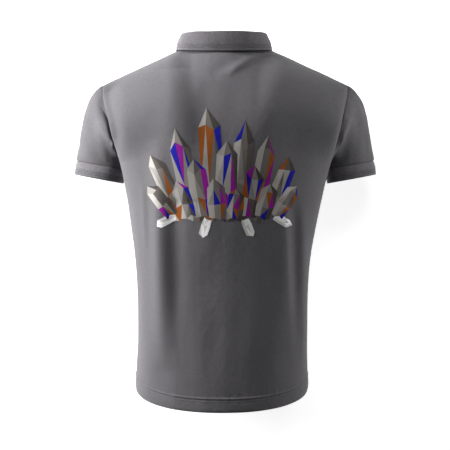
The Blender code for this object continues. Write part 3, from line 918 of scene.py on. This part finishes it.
def rib_finish(name, colour):
    """One-by-one rib: round wales that run across the band, each a column of small loops, with painted
    shade between the wales and in the three grooves beside the edge.
    """
    made = Finish(name, colour, Roughness=0.9, **COTTON)
    across, along = made.place.part(0), made.place.part(1)
    wale = (across * (2 * math.pi / RIB_WALE)).sine()
    loop = (along * (2 * math.pi / RIB_LOOP) + wale * RIB_LOOP_LEAN).sine()
    yarn = made.place.noise(*YARN_NOISE)
    cloud = made.spot.noise(*CLOUD_NOISE)
    mottle = made.spot.noise(*RIB_MOTTLE)
    # Painted shade: the colour darkens in the three grooves beside the knitted edge.
    lines = sum((1 - (along + line).size() * (1 / STRIPE_HALF)).above_zero() for line in STRIPES)
    # Painted shade: the wale term darkens the colour between the round wales; yarn, mottle and cloud are
    # the rib's own uneven tone.
    tone = blend(RIB_TONE_AND_WALE_SHADE, (wale, yarn, mottle, cloud)) + RIB_TONE_SHIFT
    wale_shaded_tone = made.shades(tone, *RIB_SHADES)
    made.feed("Base Color", (lines * GROOVE_SHADE_SHARE).mix(wale_shaded_tone, made.shade(GROOVE_PAINTED_SHADE)))
    made.emboss(blend(RIB_RELIEF, (wale, loop, yarn)), RIB_DEPTH)
    return made.material


rib = rib_finish("grey_rib", RIB_GREY)


def cuff(name, side, node):
    """One cuff, drawn in at its seam and at its knitted edge."""
    along = SEAM_GAP + np.linspace(0, CUFF_LENGTH, CUFF_ROWS + 1)
    base = np.stack([cuff_ring(side, place) for place in along])
    out = outward(base)
    to_edge = (along[-1] - along)[:, None]
    from_seam = along[:, None]
    bulge = CUFF_BULGE * np.sin(math.pi * from_seam / along[-1])
    bulge = bulge - CUFF_PULL * bell(from_seam, CUFF_PULL_REACH)
    around = lengths_along(base, 1)
    uneven = CUFF_UNEVEN * soft_noise(around, from_seam, CUFF_SEED + side, *CUFF_WAVES)
    height = bulge + stripes(to_edge) + uneven - edge_thinning(to_edge)
    outer = base + out * height[..., None]
    inner = outer - out * RIB
    return piece(name, cloth_mesh(outer, inner, ring=True, from_end=True), rib, "rib", node)


cuffs = [cuff("left_cuff_rib", -1, "left_cuff"), cuff("right_cuff_rib", 1, "right_cuff")]


# Collar. One flat-knitted band of the same rib, linked to the neck seam. It stands up round the
# neck, turns over, and falls to a knitted edge with the cuffs' three lines, ending in two points.

STAND = 0.0370
STAND_SIDE = 0.0245
STAND_FRONT = 0.028
FALL = 0.0390
FALL_SIDE = 0.0305
FALL_FRONT = 0.062
FALL_FLARE = 0.0035
FALL_FLARE_SIDE = 0.0095
COLLAR_FOLD = 0.0027
COLLAR_OPENING = 0.008
COLLAR_SPREAD = 0.030
COLLAR_SET = 0.0050
CORNER_POWER = 0.66
NECK_COLUMNS = (150, 84)
STAND_ROWS = 16
TURN_ROWS = 14
FALL_ROWS = 44
COLLAR_UNEVEN = 0.0007
COLLAR_WAVES = (0.03, 0.09)
COLLAR_SEED = 51
COLLAR_ROOT = 0.004


def neck_frames(points):
    """Directions out of the neck opening across its seam, and along the neck."""
    half_deep = np.where(points[:, 2] > SEAM_HEIGHT, NECK_BACK_HEIGHT, NECK_FRONT_HEIGHT)
    x, z = points[:, 0], points[:, 2] - SEAM_HEIGHT
    away = unit(np.stack([x / NECK_HALF**2, 0 * x, z / half_deep**2], -1))
    return away, np.broadcast_to(np.array([0.0, 1.0, 0.0]), away.shape)


def neck_seam(back_count, front_count):
    """The neck seam from the right end of the front opening round the back to the left end."""
    neck = NECK_HALF / SHOULDER_HALF
    swing = np.linspace(math.pi / 2, -math.pi / 2, back_count + 1)
    back = body_surface(neck * np.sin(swing), np.array(1.0), True)
    back[[0, -1], 2] = SEAM_HEIGHT
    swing = np.linspace(math.asin(COLLAR_OPENING / 2 / NECK_HALF), math.pi / 2, front_count + 1)
    front = body_surface(neck * np.sin(swing), np.array(1.0), False)
    return np.concatenate([front[:-1], back, (front[::-1] * (-1, 1, 1))[1:]])


def collar_points():
    """Points of the collar's middle layer, rows round the neck and columns from seam to free edge."""
    seam = neck_seam(*NECK_COLUMNS)
    away, up = neck_frames(seam)
    z = seam[:, 2] - SEAM_HEIGHT
    to_back = (z / NECK_BACK_HEIGHT).clip(0, 1) ** CORNER_POWER
    to_front = (-z / NECK_FRONT_HEIGHT).clip(0, 1) ** 2
    stand = STAND_SIDE + (STAND - STAND_SIDE) * to_back + (STAND_FRONT - STAND_SIDE) * to_front
    fall = FALL_SIDE + (FALL - FALL_SIDE) * to_back + (FALL_FRONT - FALL_SIDE) * to_front
    flare = FALL_FLARE_SIDE + (FALL_FLARE - FALL_FLARE_SIDE) * to_back
    rise = [(stand - COLLAR_FOLD) * share for share in np.linspace(0, 1, STAND_ROWS)[:-1]]
    out = [0 * z for _ in rise]
    for turn in np.linspace(math.pi, 0, TURN_ROWS):
        out.append(COLLAR_FOLD * (1 + math.cos(turn)) + 0 * z)
        rise.append(stand - COLLAR_FOLD * (1 - math.sin(turn)))
    spread = [0 * z for _ in out]
    for share in np.linspace(0, 1, FALL_ROWS + 1)[1:]:
        out.append(2 * COLLAR_FOLD + flare * (1 - (1 - share) ** 2))
        rise.append(stand - COLLAR_FOLD - (fall - COLLAR_FOLD) * share)
        spread.append(COLLAR_SPREAD * share * to_front**2 * np.sign(seam[:, 0]))
    out, rise, spread = np.stack(out, 1), np.stack(rise, 1), np.stack(spread, 1)
    points = seam[:, None] + (out - RIB / 2)[..., None] * away[:, None]
    points = points + (rise + 2 * SEAM_GAP)[..., None] * up[:, None]
    lifted = np.where(out > 0, 1, (rise / STAND).clip(0, 1))
    points[..., 0] += spread - COLLAR_SET * (-seam[:, :1] / NECK_HALF).clip(0, 1) * lifted
    return points


def collar():
    """The collar's rib, with its lines and its thinner edge on both of its faces."""
    middle = collar_points()
    face = grid_normals(middle)
    if face[middle.shape[0] // 2, -1, 2] < 0:
        face = -face
    down = lengths_along(middle, 1)
    to_edge = down[:, -1:] - down
    round_neck = lengths_along(middle, 0)
    height = stripes(to_edge) + COLLAR_UNEVEN * soft_noise(round_neck, down, COLLAR_SEED, *COLLAR_WAVES)
    height = height * smooth_step(0, COLLAR_ROOT, down) - edge_thinning(to_edge)
    outer = middle + face * (RIB / 2 + height)[..., None]
    inner = middle - face * (RIB / 2 - height)[..., None]
    outer, inner = outer.transpose(1, 0, 2), inner.transpose(1, 0, 2)
    return piece("collar_rib", cloth_mesh(outer, inner, from_end=True), rib, "rib", "collar")


collar_rib = collar()


# Neck tape. A narrow herringbone tape covers the seam inside the back of the neck, from shoulder
# to shoulder, and is sewn down along both of its edges.

TAPE_WIDTH = 0.010
TAPE_CLOTH = 0.0006
TAPE_LEAN = 0.12
TAPE_TWILL = 0.0011
TAPE_TWILL_LEAN = 1.3
TAPE_TWILL_DEPTH = 0.00015
TAPE_RIDGE_LIGHT_AND_SHADE = (0.7, 1.3)
TAPE_GREY = (0.085, 0.082, 0.088)
TAPE_SWEEP = math.radians(78)
TAPE_COLUMNS = 121
TAPE_ROWS = 9


def tape_finish(name, colour):
    """Herringbone twill: slanted ridges that turn back along the middle of the tape, with painted light on
    their tops and painted shade between them.
    """
    made = Finish(name, colour, Roughness=0.75, Sheen_Weight=0.08, Specular_IOR_Level=0.35)
    slant = made.place.part(0) + (made.place.part(1) - TAPE_WIDTH / 2).size() * TAPE_TWILL_LEAN
    ridge = (slant * (2 * math.pi / TAPE_TWILL)).sine()
    # Painted light and shade: the colour is lighter on the ridges' tops and darker between them.
    made.feed("Base Color", made.shades(ridge * 0.5 + 0.5, *TAPE_RIDGE_LIGHT_AND_SHADE))
    made.emboss(ridge, TAPE_TWILL_DEPTH)
    return made.material


def neck_tape():
    """The tape, set off from the seam by the cloth's thickness and leaning with the neck."""
    swing = np.linspace(-1, 1, TAPE_COLUMNS) * TAPE_SWEEP
    seam = body_surface(NECK_HALF / SHOULDER_HALF * np.sin(swing), np.array(1.0), True)
    away, up = neck_frames(seam)
    reach = np.linspace(-TAPE_WIDTH / 2, TAPE_WIDTH / 2, TAPE_ROWS)[:, None, None]
    clear = CLOTH + 2 * SEAM_GAP
    outer = seam - away * (clear + reach * TAPE_LEAN) + up * reach
    mesh = cloth_mesh(outer, outer - away * TAPE_CLOTH)
    return piece("neck_tape_twill", mesh, tape_finish("grey_tape", TAPE_GREY), "tape", "neck_tape")


tape = neck_tape()


# Placket. Two folded strips of pique finish the front opening: the top one shows, with a row of
# stitches just inside each edge and a boxed end, and the under one lies behind it.

PLACKET_WIDTH = 0.032
PLACKET_LENGTH = 0.130
PLACKET_CLOTH = 0.0013
PLACKET_STITCH = 0.0022
PLACKET_PUFF = 0.0004
PLACKET_PUFF_REACH = 0.001
PLACKET_DENT = 0.0003
PLACKET_DENT_HALF = 0.0007
PLACKET_ROWS = 72
PLACKET_COLUMNS = 24
BOX_ROWS = (1, 9)
FRONT_STEPS = 2001

front_places = np.linspace(0, 1, FRONT_STEPS)
front_middle = body_surface(np.array(0.0), front_places, False)


def placket(name, inside, node):
    """One strip down the middle of the front, outside or inside it."""
    low = np.interp(front_middle[-1, 1] - PLACKET_LENGTH, front_middle[:, 1], front_places)
    v = np.linspace(low, 1, PLACKET_ROWS)
    u = np.linspace(-1, 1, PLACKET_COLUMNS + 1) * PLACKET_WIDTH / 2 / half_width(v * SHOULDER_Y)[:, None]
    near = body_surface(u, v[:, None], False)
    away = grid_normals(near)
    away[away[..., 2] > 0] *= -1
    away[..., 0] = 0
    away = unit(away)
    if inside:
        near, away = near - away * (CLOTH + 4 * SEAM_GAP), -away
    across, along = lengths_along(near, 1), lengths_along(near, 0)
    edge = np.minimum(np.minimum(across, across[:, -1:] - across), along)
    puff = -PLACKET_PUFF * bell(edge, PLACKET_PUFF_REACH)
    puff = puff - PLACKET_DENT * bell(edge - PLACKET_STITCH, PLACKET_DENT_HALF)
    first = near + away * SEAM_GAP
    outer = first + away * (PLACKET_CLOTH + puff)[..., None]
    made = piece(name, cloth_mesh(outer, first), pique, "pique", node)
    return made, outer, away


placket_top, placket_face, placket_out = placket("placket_top_cloth", False, "placket_top")
placket_under, _, _ = placket("placket_under_cloth", True, "placket_under")
stitch_column = int(round(PLACKET_STITCH / PLACKET_WIDTH * PLACKET_COLUMNS))
stitch_columns = (stitch_column, PLACKET_COLUMNS - stitch_column)
placket_lines = [(placket_face[:, column], placket_out[:, column]) for column in stitch_columns]
placket_lines += [(placket_face[row], placket_out[row]) for row in BOX_ROWS]
placket_thread = piece("placket_stitches", stitch_mesh(placket_lines), thread, "pique")


# Buttons. Three turned polyester buttons with a raised rim, a sunk middle and four holes, each held
# on the placket by two bars of thread.

BUTTON_RADIUS = 0.0057
BUTTON_THICK = 0.0024
BUTTON_PITCH = 0.040
BUTTON_COUNT = 3
FIRST_BUTTON = 0.016
BUTTON_GREY = (0.090, 0.088, 0.095)
BUTTON_SIDES = 64
BUTTON_SUNK = 0.72
HOLE_SPREAD = 0.00125
HOLE_RADIUS = 0.00055
HOLE_COUNT = 4
HOLE_SIDES = 20
THREAD_BAR = 0.00034
BAR_CORNER = 0.35
BAR_STEPS = 25
BUTTON_SHARP = math.radians(40)
RESIN_NOISE = (420.0, 3.0)
RESIN_SHADES = (0.75, 1.35)
RESIN_POLISHED = 0.24
RESIN_DULLED = 0.16

# The button's profile from its back to its face, in shares of its radius and of its thickness.
PROFILE_RADII = (0, 0.80, 0.92, 0.98, 1, 1, 0.985, 0.95, 0.88, 0.80, 0.73, 0.68, 0.63, 0.56, 0)
PROFILE_LEVELS = (0, 0, 0.05, 0.18, 0.36, 0.62, 0.80, 0.92, 0.99, 1, 0.96, 0.88, 0.79, 0.75, BUTTON_SUNK)


def button_finish(name, colour):
    """Cast polyester, faintly clouded, and a little duller in some spots than in others."""
    made = Finish(name, colour, Roughness=0.3, Coat_Weight=0.25, Coat_Roughness=0.15)
    cloud = made.spot.noise(*RESIN_NOISE)
    made.feed("Base Color", made.shades(cloud, *RESIN_SHADES))
    made.feed("Roughness", RESIN_POLISHED + cloud * RESIN_DULLED)
    return made.material


def lathe(profile, sides):
    """A turned solid from radii and heights, starting and ending on its axis."""
    work = bmesh.new()
    turns = full_turn(sides)
    rings = []
    for radius, height in profile:
        at = turns if radius else turns[:1]
        rings.append([work.verts.new((radius * math.cos(a), radius * math.sin(a), height)) for a in at])
    for first, second in zip(rings, rings[1:]):
        for k in range(sides):
            corners = [first[k % len(first)], first[(k + 1) % len(first)]]
            corners += [second[(k + 1) % len(second)], second[k % len(second)]]
            work.faces.new(list(dict.fromkeys(corners)))
    bmesh.ops.recalc_face_normals(work, faces=work.faces)
    return work


def button_mesh():
    """The button with its holes cut through."""
    profile = zip(PROFILE_RADII, PROFILE_LEVELS)
    work = lathe([(a * BUTTON_RADIUS, -b * BUTTON_THICK) for a, b in profile], BUTTON_SIDES)
    body = bpy.data.meshes.new("button_blank")
    work.to_mesh(body)
    work.free()
    blank = add_object("button_blank", body)
    holes = bmesh.new()
    drill = {"cap_ends": True, "segments": HOLE_SIDES, "radius1": HOLE_RADIUS, "radius2": HOLE_RADIUS}
    for k in range(HOLE_COUNT):
        angle = math.pi / HOLE_COUNT + k * 2 * math.pi / HOLE_COUNT
        spot = Vector((HOLE_SPREAD * math.cos(angle), HOLE_SPREAD * math.sin(angle), -BUTTON_THICK / 2))
        made = bmesh.ops.create_cone(holes, depth=3 * BUTTON_THICK, **drill)
        bmesh.ops.translate(holes, verts=made["verts"], vec=spot)
    cutter_mesh = bpy.data.meshes.new("button_holes")
    holes.to_mesh(cutter_mesh)
    holes.free()
    cutter = add_object("button_holes", cutter_mesh)
    cut = blank.modifiers.new("holes", "BOOLEAN")
    cut.object = cutter
    cut.operation = "DIFFERENCE"
    bpy.context.view_layer.update()
    ready = blank.evaluated_get(bpy.context.evaluated_depsgraph_get())
    mesh = bpy.data.meshes.new_from_object(ready)
    for made in (blank, cutter):
        bpy.data.objects.remove(made)
    mesh.shade_smooth()
    mesh.set_sharp_from_angle(angle=BUTTON_SHARP)
    return mesh


def thread_bars():
    """Two bars of thread over one button, each down through a pair of its holes to the cloth."""
    across = HOLE_SPREAD * math.cos(math.pi / 4)
    top = BUTTON_SUNK * BUTTON_THICK + THREAD_BAR
    swing = np.linspace(0, math.pi, BAR_STEPS)
    rings = []
    for side in (-1, 1):
        aside = across * np.sign(np.cos(swing)) * np.abs(np.cos(swing)) ** BAR_CORNER
        path = np.stack([aside, 0 * swing + side * across, -top * np.sin(swing).clip(0) ** BAR_CORNER], -1)
        ahead = unit(np.gradient(path, axis=0))
        normal = np.cross(ahead, (0.0, 1.0, 0.0))
        rings.append(path[:, None] + THREAD_BAR * across_ring(np.cross(ahead, normal), normal))
    return tubes_mesh(np.stack(rings))


resin = button_finish("grey_resin", BUTTON_GREY)
button_shape, bar_shape = button_mesh(), thread_bars()
for k in range(BUTTON_COUNT):
    y = front_middle[-1, 1] - FIRST_BUTTON - k * BUTTON_PITCH
    z = np.interp(y, front_middle[:, 1], front_middle[:, 2])
    drop = z - np.interp(y - BUTTON_RADIUS, front_middle[:, 1], front_middle[:, 2])
    tilt = math.atan2(drop, BUTTON_RADIUS)
    stack = SEAM_GAP + PLACKET_CLOTH + 2 * SEAM_GAP
    place = Matrix.Translation((0, y + stack * math.sin(tilt), z - stack * math.cos(tilt)))
    place = place @ Matrix.Rotation(tilt, 4, "X")
    mesh, bars = button_shape.copy(), bar_shape.copy()
    mesh.transform(place)
    bars.transform(place)
    piece(f"button_{k + 1}_resin", mesh, resin, "button", f"button_{k + 1}")
    piece(f"button_{k + 1}_thread", bars, thread, "pique")


# Print. A film of matt ink, heat-pressed on to the middle of the finished back. It is thinner than
# the yarn, follows the folds, and shows a cluster of faceted crystals, each facet in one flat ink.

PRINT_FOOT = Vector((0.000, 0.001))
PRINT_FILM = 0.00012
PRINT_LIFT = 0.00040
PRINT_STEP = 0.0024
CRYSTAL_LEVELS = (0.0, 0.34, 0.80)
CRYSTAL_GIRTHS = (0.84, 1.0, 0.94)
CRYSTAL_RIDGES = (-1.0, -0.30, 0.42, 1.0)
CRYSTAL_SHIFT = 0.06
PRINT_HALF = 0.12
PRINT_ARC = 0.012
PRINT_DIMPLE = 0.4
PRINT_SEED = 27
PRINT_WELD = 1e-7
TIP_SHIFT = (-0.35, 0.1)
TURNED_SHARE = 0.5
INK_SPREAD = 1.4
ACCENT_SHARE = 0.30
FILM_MATT = 0.76

GREY_INKS = (
    (0.36, 0.340, 0.320),
    (0.27, 0.253, 0.237),
    (0.19, 0.176, 0.163),
    (0.125, 0.114, 0.105),
    (0.078, 0.069, 0.062),
    (0.048, 0.041, 0.037),
)
WHITE_INKS = ((0.84, 0.84, 0.83), (0.78, 0.78, 0.77), (0.58, 0.57, 0.56))
ACCENT_INKS = ((0.215, 0.003, 0.220), (0.003, 0.004, 0.270), (0.235, 0.062, 0.004))

# Each crystal from the hindmost to the foremost: the place of its foot across the cluster, its
# lean in degrees, its length, its half width, and its inks.
CRYSTALS = (
    (-0.058, -13, 0.180, 0.0197, GREY_INKS),
    (0.055, 11, 0.165, 0.0182, GREY_INKS),
    (-0.019, -4, 0.219, 0.0226, GREY_INKS),
    (0.023, 5, 0.194, 0.0202, GREY_INKS),
    (-0.088, -24, 0.134, 0.0173, GREY_INKS),
    (0.085, 21, 0.124, 0.0168, GREY_INKS),
    (-0.001, 2, 0.153, 0.0216, GREY_INKS),
    (-0.098, -118, 0.041, 0.0086, WHITE_INKS),
    (-0.034, -162, 0.037, 0.0091, WHITE_INKS),
    (0.038, 158, 0.037, 0.0091, WHITE_INKS),
    (0.096, 120, 0.039, 0.0086, WHITE_INKS),
    (-0.041, -9, 0.118, 0.0197, GREY_INKS),
    (0.043, 10, 0.105, 0.0192, GREY_INKS),
    (-0.103, -38, 0.076, 0.0144, GREY_INKS),
    (0.100, 34, 0.070, 0.0144, GREY_INKS),
    (-0.071, -17, 0.076, 0.0173, GREY_INKS),
    (0.071, 16, 0.068, 0.0173, GREY_INKS),
    (-0.015, -3, 0.081, 0.0182, GREY_INKS),
    (0.017, 6, 0.060, 0.0163, GREY_INKS),
)


def crystal_outline(aside, lean, length, half, draw):
    """Corners and facets of one crystal: three strips side by side, closed by a slanted tip."""
    turn = math.radians(lean)
    ahead = Vector((math.sin(turn), math.cos(turn)))
    across = Vector((ahead.y, -ahead.x))
    foot = PRINT_FOOT + Vector((aside, PRINT_ARC * (aside / PRINT_HALF) ** 2))
    corners = []
    for level, girth in zip(CRYSTAL_LEVELS, CRYSTAL_GIRTHS):
        for ridge in CRYSTAL_RIDGES:
            reach = level + draw.uniform(-CRYSTAL_SHIFT, CRYSTAL_SHIFT)
            corners.append(foot + ahead * (length * reach) + across * (half * girth * ridge))
    corners.append(foot + ahead * length + across * (half * draw.uniform(*TIP_SHIFT)))
    wide = len(CRYSTAL_RIDGES)
    facets = []
    for row in range(len(CRYSTAL_LEVELS) - 1):
        for strip in range(wide - 1):
            a = row * wide + strip
            b, c, d = a + 1, a + wide + 1, a + wide
            pair = ((a, b, c), (a, c, d)) if draw.random() < TURNED_SHARE else ((a, b, d), (b, c, d))
            facets += [(corner, strip) for corner in pair]
    last = len(corners) - 1
    facets += [((last - wide + strip, last - wide + strip + 1, last), strip) for strip in range(wide - 1)]
    return corners, facets


def facet_ink(inks, strip, draw):
    """An ink for one facet: lighter on the left strip, darker on the right, or now and then a colour."""
    if inks is GREY_INKS and draw.random() < ACCENT_SHARE:
        return ACCENT_INKS[draw.integers(len(ACCENT_INKS))]
    shift = strip * (len(inks) - 1) / (len(CRYSTAL_RIDGES) - 2) + draw.uniform(-INK_SPREAD, INK_SPREAD)
    return inks[int(round(min(max(shift, 0), len(inks) - 1)))]


def print_plan():
    """The cluster laid out flat: points, triangles and the ink of each, with the foremost on top."""
    draw = np.random.default_rng(PRINT_SEED)
    corners, faces, inks = [], [], []
    for aside, lean, length, half, own_inks in CRYSTALS:
        own, facets = crystal_outline(aside, lean, length, half, draw)
        for (a, b, c), strip in facets:
            turned = (own[b] - own[a]).cross(own[c] - own[a]) < 0
            faces.append([len(corners) + k for k in ((a, c, b) if turned else (a, b, c))])
            inks.append(facet_ink(own_inks, strip, draw))
        corners += own
    low, high = np.min(corners, axis=0), np.max(corners, axis=0)
    columns = np.arange(low[0], high[0], PRINT_STEP)
    rows = np.arange(low[1], high[1], PRINT_STEP)
    lattice = [Vector((x + (k % 2) * PRINT_STEP / 2, y)) for k, y in enumerate(rows) for x in columns]
    flat = geometry.delaunay_2d_cdt(corners + lattice, [], faces, 1, PRINT_WELD)
    kept = [(face, max(sources)) for face, sources in zip(flat[2], flat[5]) if sources]
    used, triangles = np.unique([face for face, _ in kept], return_inverse=True)
    kept_inks = np.array([inks[source] for _, source in kept])
    return np.array(flat[0])[used], triangles.reshape(-1, 3), kept_inks


def drop_on_back(points):
    """Points of the plan laid on the cloth, and the cloth's directions, evened over a few threads."""
    back = back_panel.data
    cloth = BVHTree.FromPolygons([v.co for v in back.vertices], [p.vertices for p in back.polygons])

    def height(x, y):
        return cloth.ray_cast(Vector((x, y, 1)), Vector((0, 0, -1)))[0].z

    step = PRINT_STEP / 2
    placed, normals = [], []
    for x, y in points:
        left, right = height(x - step, y), height(x + step, y)
        below, above = height(x, y - step), height(x, y + step)
        normals.append(((left - right) / (2 * step), (below - above) / (2 * step), 1))
        placed.append((x, y, max(height(x, y), (left + right + below + above) / 4)))
    return np.array(placed), unit(np.array(normals))


def ink_finish(name):
    """Matt film of ink that the knit below still dimples, coloured facet by facet."""
    made = Finish(name, GREY_INKS[2], Roughness=0.8, Specular_IOR_Level=0.2)
    made.feed("Base Color", made.spot.node("ShaderNodeVertexColor", {"layer_name": "ink"}))
    diamond = made.diamonds()
    made.feed("Roughness", FILM_MATT + diamond * DIAMOND_POLISH)
    made.emboss(diamond, PRINT_DIMPLE * PIQUE_DEPTH)
    return made.material


def back_print():
    """The film with its face, its underside and a rim, pressed on to the cloth."""
    points, triangles, inks = print_plan()
    placed, normals = drop_on_back(points)
    count = len(points)
    sides = np.concatenate([triangles[:, [0, 1]], triangles[:, [1, 2]], triangles[:, [2, 0]]])
    owner = {tuple(side): k % len(triangles) for k, side in enumerate(sides.tolist())}
    free_sides = [side for side in sorted(owner) if side[::-1] not in owner]
    rim_inks = inks[[owner[side] for side in free_sides]]
    rim = np.array(free_sides)
    walls = np.stack([rim[:, 1], rim[:, 0], rim[:, 0] + count, rim[:, 1] + count], -1)
    faces = triangles.tolist() + (triangles[:, ::-1] + count).tolist() + walls.tolist()
    face = placed + normals * PRINT_LIFT
    mesh = mesh_of(np.concatenate([face, face - normals * PRINT_FILM]), faces)
    corners = np.concatenate([np.array(row) for row in faces])
    colours = [np.repeat(inks, 3, axis=0)] * 2 + [np.repeat(rim_inks, 4, axis=0)]
    colours = np.insert(np.concatenate(colours), 3, 1, axis=1)
    mesh.uv_layers.new(name="cloth").data.foreach_set("uv", points[corners % count].reshape(-1))
    mesh.color_attributes.new("ink", "FLOAT_COLOR", "CORNER").data.foreach_set("color", colours.reshape(-1))
    own = np.concatenate([normals[triangles.reshape(-1)], -normals[triangles[:, ::-1].reshape(-1)]])
    mesh.normals_split_custom_set(np.concatenate([own, np.zeros((4 * len(walls), 3))]).tolist())
    return piece("back_print_film", mesh, ink_finish("print_inks"), "pique")


print_film = back_print()


# Floor, lights and colour management. A pale floor and three soft lights: a strong one low at the
# upper left, which models the folds, a weak one at the right, and a weak one beyond the neck.

FLOOR_HALF = 6.0
FLOOR_SINK = 0.0004
FLOOR_GLOW = 0.80
PAPER = (0.9, 0.9, 0.9)
WHITE = (1, 1, 1, 1)
WORLD_GLOW = 0.092
LIGHT_AIM = Vector((0, 0, 0.15))

# Each light: its turn round the shirt and its lift in degrees, its distance, its size and its power.
LIGHTS = {
    "key_light": (158, 7, 2.2, (1.6, 0.6), 150),
    "side_light": (6, -1, 2.2, (1.4, 0.2), 25),
    "head_light": (85, 35, 2.4, (2.0, 0.6), 22),
}


def area_light(name, turn, lift, distance, size, power):
    """A soft rectangular light that shines on the middle of the shirt's back."""
    turn, lift = math.radians(turn), math.radians(lift)
    lamp = bpy.data.lights.new(name, "AREA")
    lamp.shape = "RECTANGLE"
    lamp.size, lamp.size_y = size
    lamp.energy = power
    made = add_object(name, lamp)
    toward = Vector((math.cos(turn) * math.cos(lift), math.sin(turn) * math.cos(lift), math.sin(lift)))
    made.location = LIGHT_AIM + toward * distance
    made.rotation_mode = "QUATERNION"
    made.rotation_quaternion = toward.to_track_quat("Z", "Y")


for name, light in LIGHTS.items():
    area_light(name, *light)

floor_mesh = bpy.data.meshes.new("floor")
corners = [(x * FLOOR_HALF, y * FLOOR_HALF, -FLOOR_SINK) for x, y in ((-1, -1), (1, -1), (1, 1), (-1, 1))]
floor_mesh.from_pydata(corners, [], [(0, 1, 2, 3)])
floor = add_object("floor", floor_mesh)
paper = Finish("white_paper", PAPER, Roughness=0.9, Emission_Color=WHITE, Emission_Strength=FLOOR_GLOW)
floor_mesh.materials.append(paper.material)

world = bpy.data.worlds.new("studio")
world.use_nodes = True
backdrop = world.node_tree.nodes["Background"]
backdrop.inputs["Color"].default_value = WHITE
backdrop.inputs["Strength"].default_value = WORLD_GLOW
bpy.context.scene.world = world
bpy.context.scene.view_settings.view_transform = "Standard"
